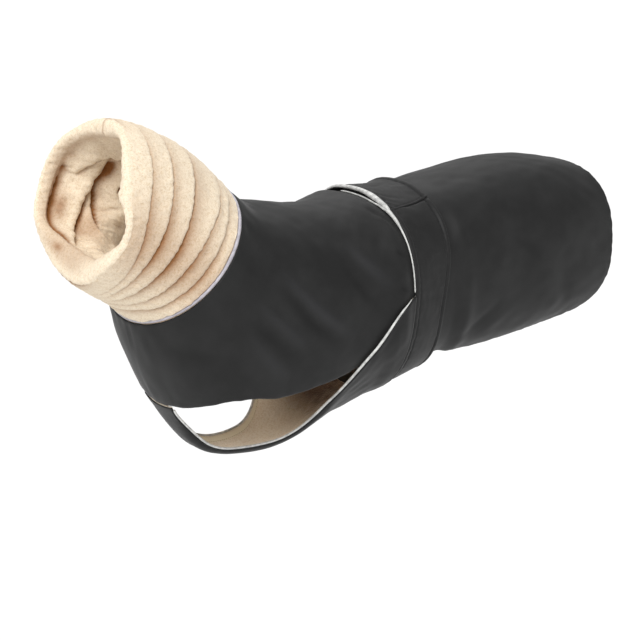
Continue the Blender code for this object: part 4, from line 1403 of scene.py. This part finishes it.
def ledge_height(along, turn, ledge):
    """A fold that swells over `soft`, rounds off toward its line and drops into a groove within `steep`."""
    beyond, run_at = beyond_line(along, turn, ledge.line)
    rounding = 0.45 * ledge.soft
    swell = bell(np.minimum(beyond + rounding, 0), 0, ledge.soft)
    rounded_off = 1 - 0.3 * np.clip(beyond / rounding + 1, 0, 1) ** 2
    drop = bell(np.maximum(beyond, 0), 0, ledge.steep)
    groove = ledge.groove * bell(beyond, 0.8 * ledge.steep, GROOVE_WIDTH)
    tapered = np.sin(np.pi * np.clip(run_at, 0.0, 1.0)) ** 0.5
    return (ledge.height * swell * rounded_off * drop - groove) * tapered


def facing_face(along, turn):
    """The turned-in face, from the rolled mouth (0) down to the neck seam (1), and its folds' height."""
    mouth = read(MOUTH, turn)
    first = SNOOD_LENGTH - mouth.back - ROLL_TAIL
    at = first - (first - FACING_END) * along
    relief = uneven(FACING_BILLOWS, at, np.radians(turn) * FACING_ARC)
    for fold in FACING_FOLDS:
        beside_fold = turn_from(turn, fold.turn)
        away = (along - fold.at - fold.lean * beside_fold / 90) / fold.reach_at
        relief = relief + fold.height * np.exp(-(away**2) - (beside_fold / fold.reach_turn) ** 2)
    for ledge in FACING_LEDGES:
        relief = relief + ledge_height(along, turn, ledge)
    relief = relief * smooth_step(along, 0.0, 0.06) * (1 - smooth_step(along, 0.94, 1.0))
    seam = smooth_step(along, 0.70, 1.0)
    stands_in = (mouth.inward - mouth.flare) * (1 - seam) + (SNOOD_WALL * 2 + LAP_GAP) * seam + relief
    face = neck(at, turn) + outward(neck, at, turn) * (stands_in - SNOOD_STAND)[..., None]
    return face, relief


Spot = namedtuple("Spot", "at turn reach_at reach_turn amount")
FACING_SHADE = (
    # painted shade where the folds of the turned-in part fall in shadow, and along the tube's seam
    Spot(0.47, -112, 0.10, 26, 0.58),
    Spot(0.14, -103, 0.06, 13, 0.75),
    Spot(0.42, -59, 0.05, 8, 1.00),
    Spot(0.03, -136, 0.07, 18, 0.40),
    Spot(0.67, -122, 0.06, 3, 0.80),
    Spot(0.80, -124, 0.08, 3, 0.80),
    Spot(0.92, -126, 0.06, 3, 0.60),
    Spot(0.12, SNOOD_SEAM, 0.16, 1.2, 0.40),
    Spot(0.30, 100, 0.12, 40, 0.35),
    Spot(0.50, 40, 0.10, 20, 0.40),
)


def blurred(heights, reach):
    """A grid whose columns close into a ring, each value averaged with those round it."""
    weights = np.hanning(2 * reach + 3)[1:-1]
    weights /= weights.sum()
    for axis in (0, 1):
        padding = [(reach, reach) if k == axis else (0, 0) for k in (0, 1)]
        wide = np.pad(heights, padding, mode="wrap" if axis else "edge")
        heights = np.apply_along_axis(np.convolve, axis, wide, weights, "valid")
    return heights


RIB_ROWS, ROLL_ROWS, FACING_ROWS, SNOOD_COLUMNS = 16, 22, 80, 368
ribs = len(RING_PLACES) + 1
in_rib = 0.5 - 0.5 * np.cos(np.linspace(0, np.pi, RIB_ROWS + 1)[:-1])
tube_rows = (np.arange(ribs)[:, None] + in_rib).ravel()
snood_turn = np.linspace(-180, 180, SNOOD_COLUMNS + 1)[:-1]
tube, tube_painted_shade = tube_face(*np.meshgrid(tube_rows, snood_turn, indexing="ij"))
roll_rows = np.linspace(0, 1, ROLL_ROWS + 1)[:-1]
roll_part, roll_turn = np.meshgrid(roll_rows, snood_turn, indexing="ij")
roll = roll_face(roll_part, roll_turn)
facing_rows = np.linspace(0, 1, FACING_ROWS + 1)
facing, relief = facing_face(*np.meshgrid(facing_rows, snood_turn, indexing="ij"))
snood_seen = np.concatenate([tube, roll, facing])

# painted shade where the roll turns in, along the tube's seam, and in one shadow spot low on the throat
# side; the roll is also darker lower down on the throat side
throat_side = np.exp(-((turn_from(roll_turn, -160) / 38) ** 4))
roll_shade = 0.35 * smooth_step(roll_part, 0.45, 1.0) * (1 - throat_side)
roll_shade += 0.42 * smooth_step(roll_part, 0.22, 0.50) * throat_side
roll_shade += 0.60 * bell(snood_turn, SNOOD_SEAM, 1.1)
roll_shade += 0.40 * np.exp(-(((roll_part - 0.58) / 0.11) ** 2) - ((snood_turn + 147) / 6) ** 2)
# painted shade inside: in the hollows between folds, right under the roll, and in some spots
facing_painted_shade = np.clip((blurred(relief, 8) - relief) / FULL_SHADE, 0, 1)
far_side = np.exp(-((turn_from(snood_turn, -105) / 40) ** 4))
facing_painted_shade += (0.25 + 0.6 * far_side) * bell(facing_rows, 0, 0.07)[:, None]
for spot in FACING_SHADE:
    away = (facing_rows[:, None] - spot.at) / spot.reach_at
    beside_spot = turn_from(snood_turn, spot.turn) / spot.reach_turn
    facing_painted_shade += spot.amount * np.exp(-(away**2) - beside_spot**2)
painted_shading = np.concatenate([tube_painted_shade, roll_shade, np.minimum(facing_painted_shade, 1)])


def grid_normals(points):
    """The normal at each point of a grid whose columns close into a ring."""
    along = np.gradient(points, axis=0)
    around = np.roll(points, -1, 1) - np.roll(points, 1, 1)
    normal = np.cross(around, along)
    return normal / np.linalg.norm(normal, axis=-1, keepdims=True)


snood_normals = grid_normals(snood_seen)
soft_turns = np.broadcast_to(np.radians(snood_turn) * ARC, snood_seen.shape[:2])
snood_down = lengths_along(snood_seen, 0)
snood_seen = snood_seen - snood_normals * uneven(SNOOD_PILE, snood_down, soft_turns)[..., None]
# its shade colour gives the snood's painted shade in troughs, hollows and down the neck's sides
snood_fleece = fleece_cloth(
    "Thick brushed polyester fleece, snood",
    code="#EFE0C9",
    rough_code="#D6BF9E",
    nap=0.0021,
    painted_shade_code="#9C7048",
    sheen=0.3,
)
snood_flat = np.linspace(0, 2 * np.pi * SNOOD_RADIUS, SNOOD_COLUMNS + 1)
snood = cloth_piece(
    "snood_fleece",
    snood_seen,
    snood_seen + snood_normals * SNOOD_WALL,
    snood_fleece,
    np.broadcast_to(snood_flat, (len(snood_seen), SNOOD_COLUMNS + 1)),
    both_ends(snood_down),
    wrap=True,
    painted_shading=painted_shading,
)
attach(snood, "root")
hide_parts("snood", "snood_facing")

# ==== The topstitching ============================================================================
# Polyester thread, lockstitched by machine: black along the band's two edges and across its upper
# wing's end, beige along the bindings. Each stitch is a small spindle that dips in at its ends.

STITCH_PITCH = 0.0031
STITCH_LENGTH = 0.0025
THREAD_THICKNESS = 0.00045


def lockstitch_nodes():
    """A node group that lays one stitch at every pitch along a line."""
    group = bpy.data.node_groups.new("Lockstitch", "GeometryNodeTree")
    for label, kind in (
        ("Line", "NodeSocketGeometry"),
        ("Pitch", "NodeSocketFloat"),
        ("Stitch length", "NodeSocketFloat"),
        ("Thread thickness", "NodeSocketFloat"),
        ("Seed", "NodeSocketInt"),
        ("Thread", "NodeSocketMaterial"),
    ):
        group.interface.new_socket(name=label, in_out="INPUT", socket_type=kind)
    group.interface.new_socket(name="Stitches", in_out="OUTPUT", socket_type="NodeSocketGeometry")
    given = add(group, "NodeGroupInput", {}).outputs
    line = add(group, "GeometryNodeMeshToCurve", {}, [("Mesh", given["Line"])])
    places = add(
        group,
        "GeometryNodeResampleCurve",
        {"mode": "LENGTH"},
        [("Curve", line.outputs["Curve"]), ("Length", given["Pitch"])],
    )
    spindle = add(group, "GeometryNodeMeshUVSphere", {"Segments": 6, "Rings": 5, "Radius": 0.5})
    shape = add(
        group,
        "ShaderNodeCombineXYZ",
        {},
        [("X", given["Thread thickness"]), ("Y", given["Thread thickness"]), ("Z", given["Stitch length"])],
    )
    stitch = add(
        group,
        "GeometryNodeTransform",
        {},
        [("Geometry", spindle.outputs["Mesh"]), ("Scale", shape.outputs["Vector"])],
    )
    tangent = add(group, "GeometryNodeInputTangent", {})
    turned_along = add(
        group, "FunctionNodeAlignRotationToVector", {"axis": "Z"}, [("Vector", tangent.outputs["Tangent"])]
    )
    tension = add(group, "FunctionNodeRandomValue", {2: 0.88, 3: 1.04}, [("Seed", given["Seed"])])
    laid = add(
        group,
        "GeometryNodeInstanceOnPoints",
        {},
        [
            ("Points", places.outputs["Curve"]),
            ("Instance", stitch.outputs["Geometry"]),
            ("Rotation", turned_along.outputs["Rotation"]),
            ("Scale", tension.outputs[1]),
        ],
    )
    real = add(group, "GeometryNodeRealizeInstances", {}, [("Geometry", laid.outputs["Instances"])])
    finished = add(
        group,
        "GeometryNodeSetMaterial",
        {},
        [("Geometry", real.outputs["Geometry"]), ("Material", given["Thread"])],
    )
    add(group, "NodeGroupOutput", {}, [("Stitches", finished.outputs["Geometry"])])
    return group


def sewing_thread(name, code):
    """Spun polyester thread: a soft low shine, one plain colour."""
    made, _, _ = finish_of(
        name,
        {"Base Color": colour(code), "Roughness": 0.6, "IOR": 1.45, "Specular IOR Level": 0.35},
    )
    return made


def sewn(name, lines, thread, seed):
    """The stitches along some lines of points, as one plain mesh."""
    starts = np.cumsum([0] + [len(line) for line in lines])
    edges = [(k, k + 1) for i, line in enumerate(lines) for k in range(starts[i], starts[i] + len(line) - 1)]
    mesh = bpy.data.meshes.new(name)
    mesh.from_pydata(np.vstack(lines).tolist(), edges, [])
    piece = bpy.data.objects.new(name, mesh)
    bpy.context.scene.collection.objects.link(piece)
    modifier = piece.modifiers.new("Lockstitch", "NODES")
    modifier.node_group = lockstitch
    settings = {
        "Pitch": STITCH_PITCH,
        "Stitch length": STITCH_LENGTH,
        "Thread thickness": THREAD_THICKNESS,
        "Seed": seed,
        "Thread": thread,
    }
    for socket in lockstitch.interface.items_tree:
        if socket.name in settings:
            modifier[socket.identifier] = settings[socket.name]
    bpy.context.view_layer.update()
    made = piece.evaluated_get(bpy.context.evaluated_depsgraph_get())
    plain = bpy.data.meshes.new_from_object(made)
    piece.modifiers.clear()
    piece.data = plain
    plain.name = name
    plain.shade_smooth()
    return piece


def line_at(points, distance, wanted):
    """The line over a grid of points where each row comes to the wanted distance."""
    return np.array([[np.interp(wanted, d, p[:, k]) for k in range(3)] for p, d in zip(points, distance)])


lockstitch = lockstitch_nodes()
black_thread = sewing_thread("Black polyester thread", "#1B1B1D")
beige_thread = sewing_thread("Beige polyester thread", "#A8916F")
wing_rows = np.argmin(np.abs(band_run[-1:] - band_run - END_STITCH), axis=0)
wing_line = band_seen[wing_rows, np.arange(band_seen.shape[1])][8:-8]
band_lines = [
    line_at(band_seen, behind_front, CHANNEL)[6:-6],
    line_at(band_seen[:, ::-1], before_rear[:, ::-1], REAR_STITCH)[6:-6],
    wing_line,
]
for name, lines, thread, slot, seed in (
    ("band_stitching", band_lines, black_thread, "black_shell", 61),
    ("binding_stitching", binding_lines, beige_thread, "beige_fleece", 62),
):
    stitching = sewn(name, lines, thread, seed)
    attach(stitching, "root")

# ==== Studio ======================================================================================
# A plain white paper floor far below the coat, and even white light from all round. Three large soft
# lights give it form: a main one, a weaker one from its far side and a weak one into the snood.

FLOOR_HALF = 300.0
FLOOR_Z = -1.60

floor_mesh = bpy.data.meshes.new("floor")
floor_corners = [(x * FLOOR_HALF, y * FLOOR_HALF, FLOOR_Z) for x, y in ((-1, -1), (1, -1), (1, 1), (-1, 1))]
floor_mesh.from_pydata(floor_corners, [], [(0, 1, 2, 3)])
floor = bpy.data.objects.new("floor", floor_mesh)
bpy.context.scene.collection.objects.link(floor)
paper, _, _ = finish_of("White background paper", {"Base Color": colour("#E7E7E7"), "Roughness": 1.0})
floor_mesh.materials.append(paper)

world = bpy.data.worlds.new("White studio")
bpy.context.scene.world = world
world.use_nodes = True
world.node_tree.nodes["Background"].inputs["Color"].default_value = (1, 1, 1, 1)
world.node_tree.nodes["Background"].inputs["Strength"].default_value = 0.30

# from above the left of the head end, from above the right side, and from low in front of the head end
for light_name, strength, breadth, heading in (
    ("Key", 3.0, 40, (0.42, 0.46, -0.78)),
    ("Back", 1.1, 60, (-0.20, -0.66, -0.72)),
    ("Front", 0.40, 70, (0.86, 0.46, -0.20)),
):
    light = bpy.data.lights.new(light_name, "SUN")
    light.energy = strength
    light.angle = math.radians(breadth)
    stand = bpy.data.objects.new(light_name, light)
    stand.rotation_euler = Vector(heading).to_track_quat("-Z", "Y").to_euler()
    bpy.context.scene.collection.objects.link(stand)

camera_data = bpy.data.cameras.new("Camera")
camera_data.lens = 76.7
camera_data.sensor_width = 36
camera = bpy.data.objects.new("Camera", camera_data)
camera.location = (-0.961, -1.211, 0.378)
camera.rotation_euler = (math.radians(71), 0, math.radians(-36))
bpy.context.scene.collection.objects.link(camera)
bpy.context.scene.camera = camera
bpy.context.scene.view_settings.view_transform = "Standard"
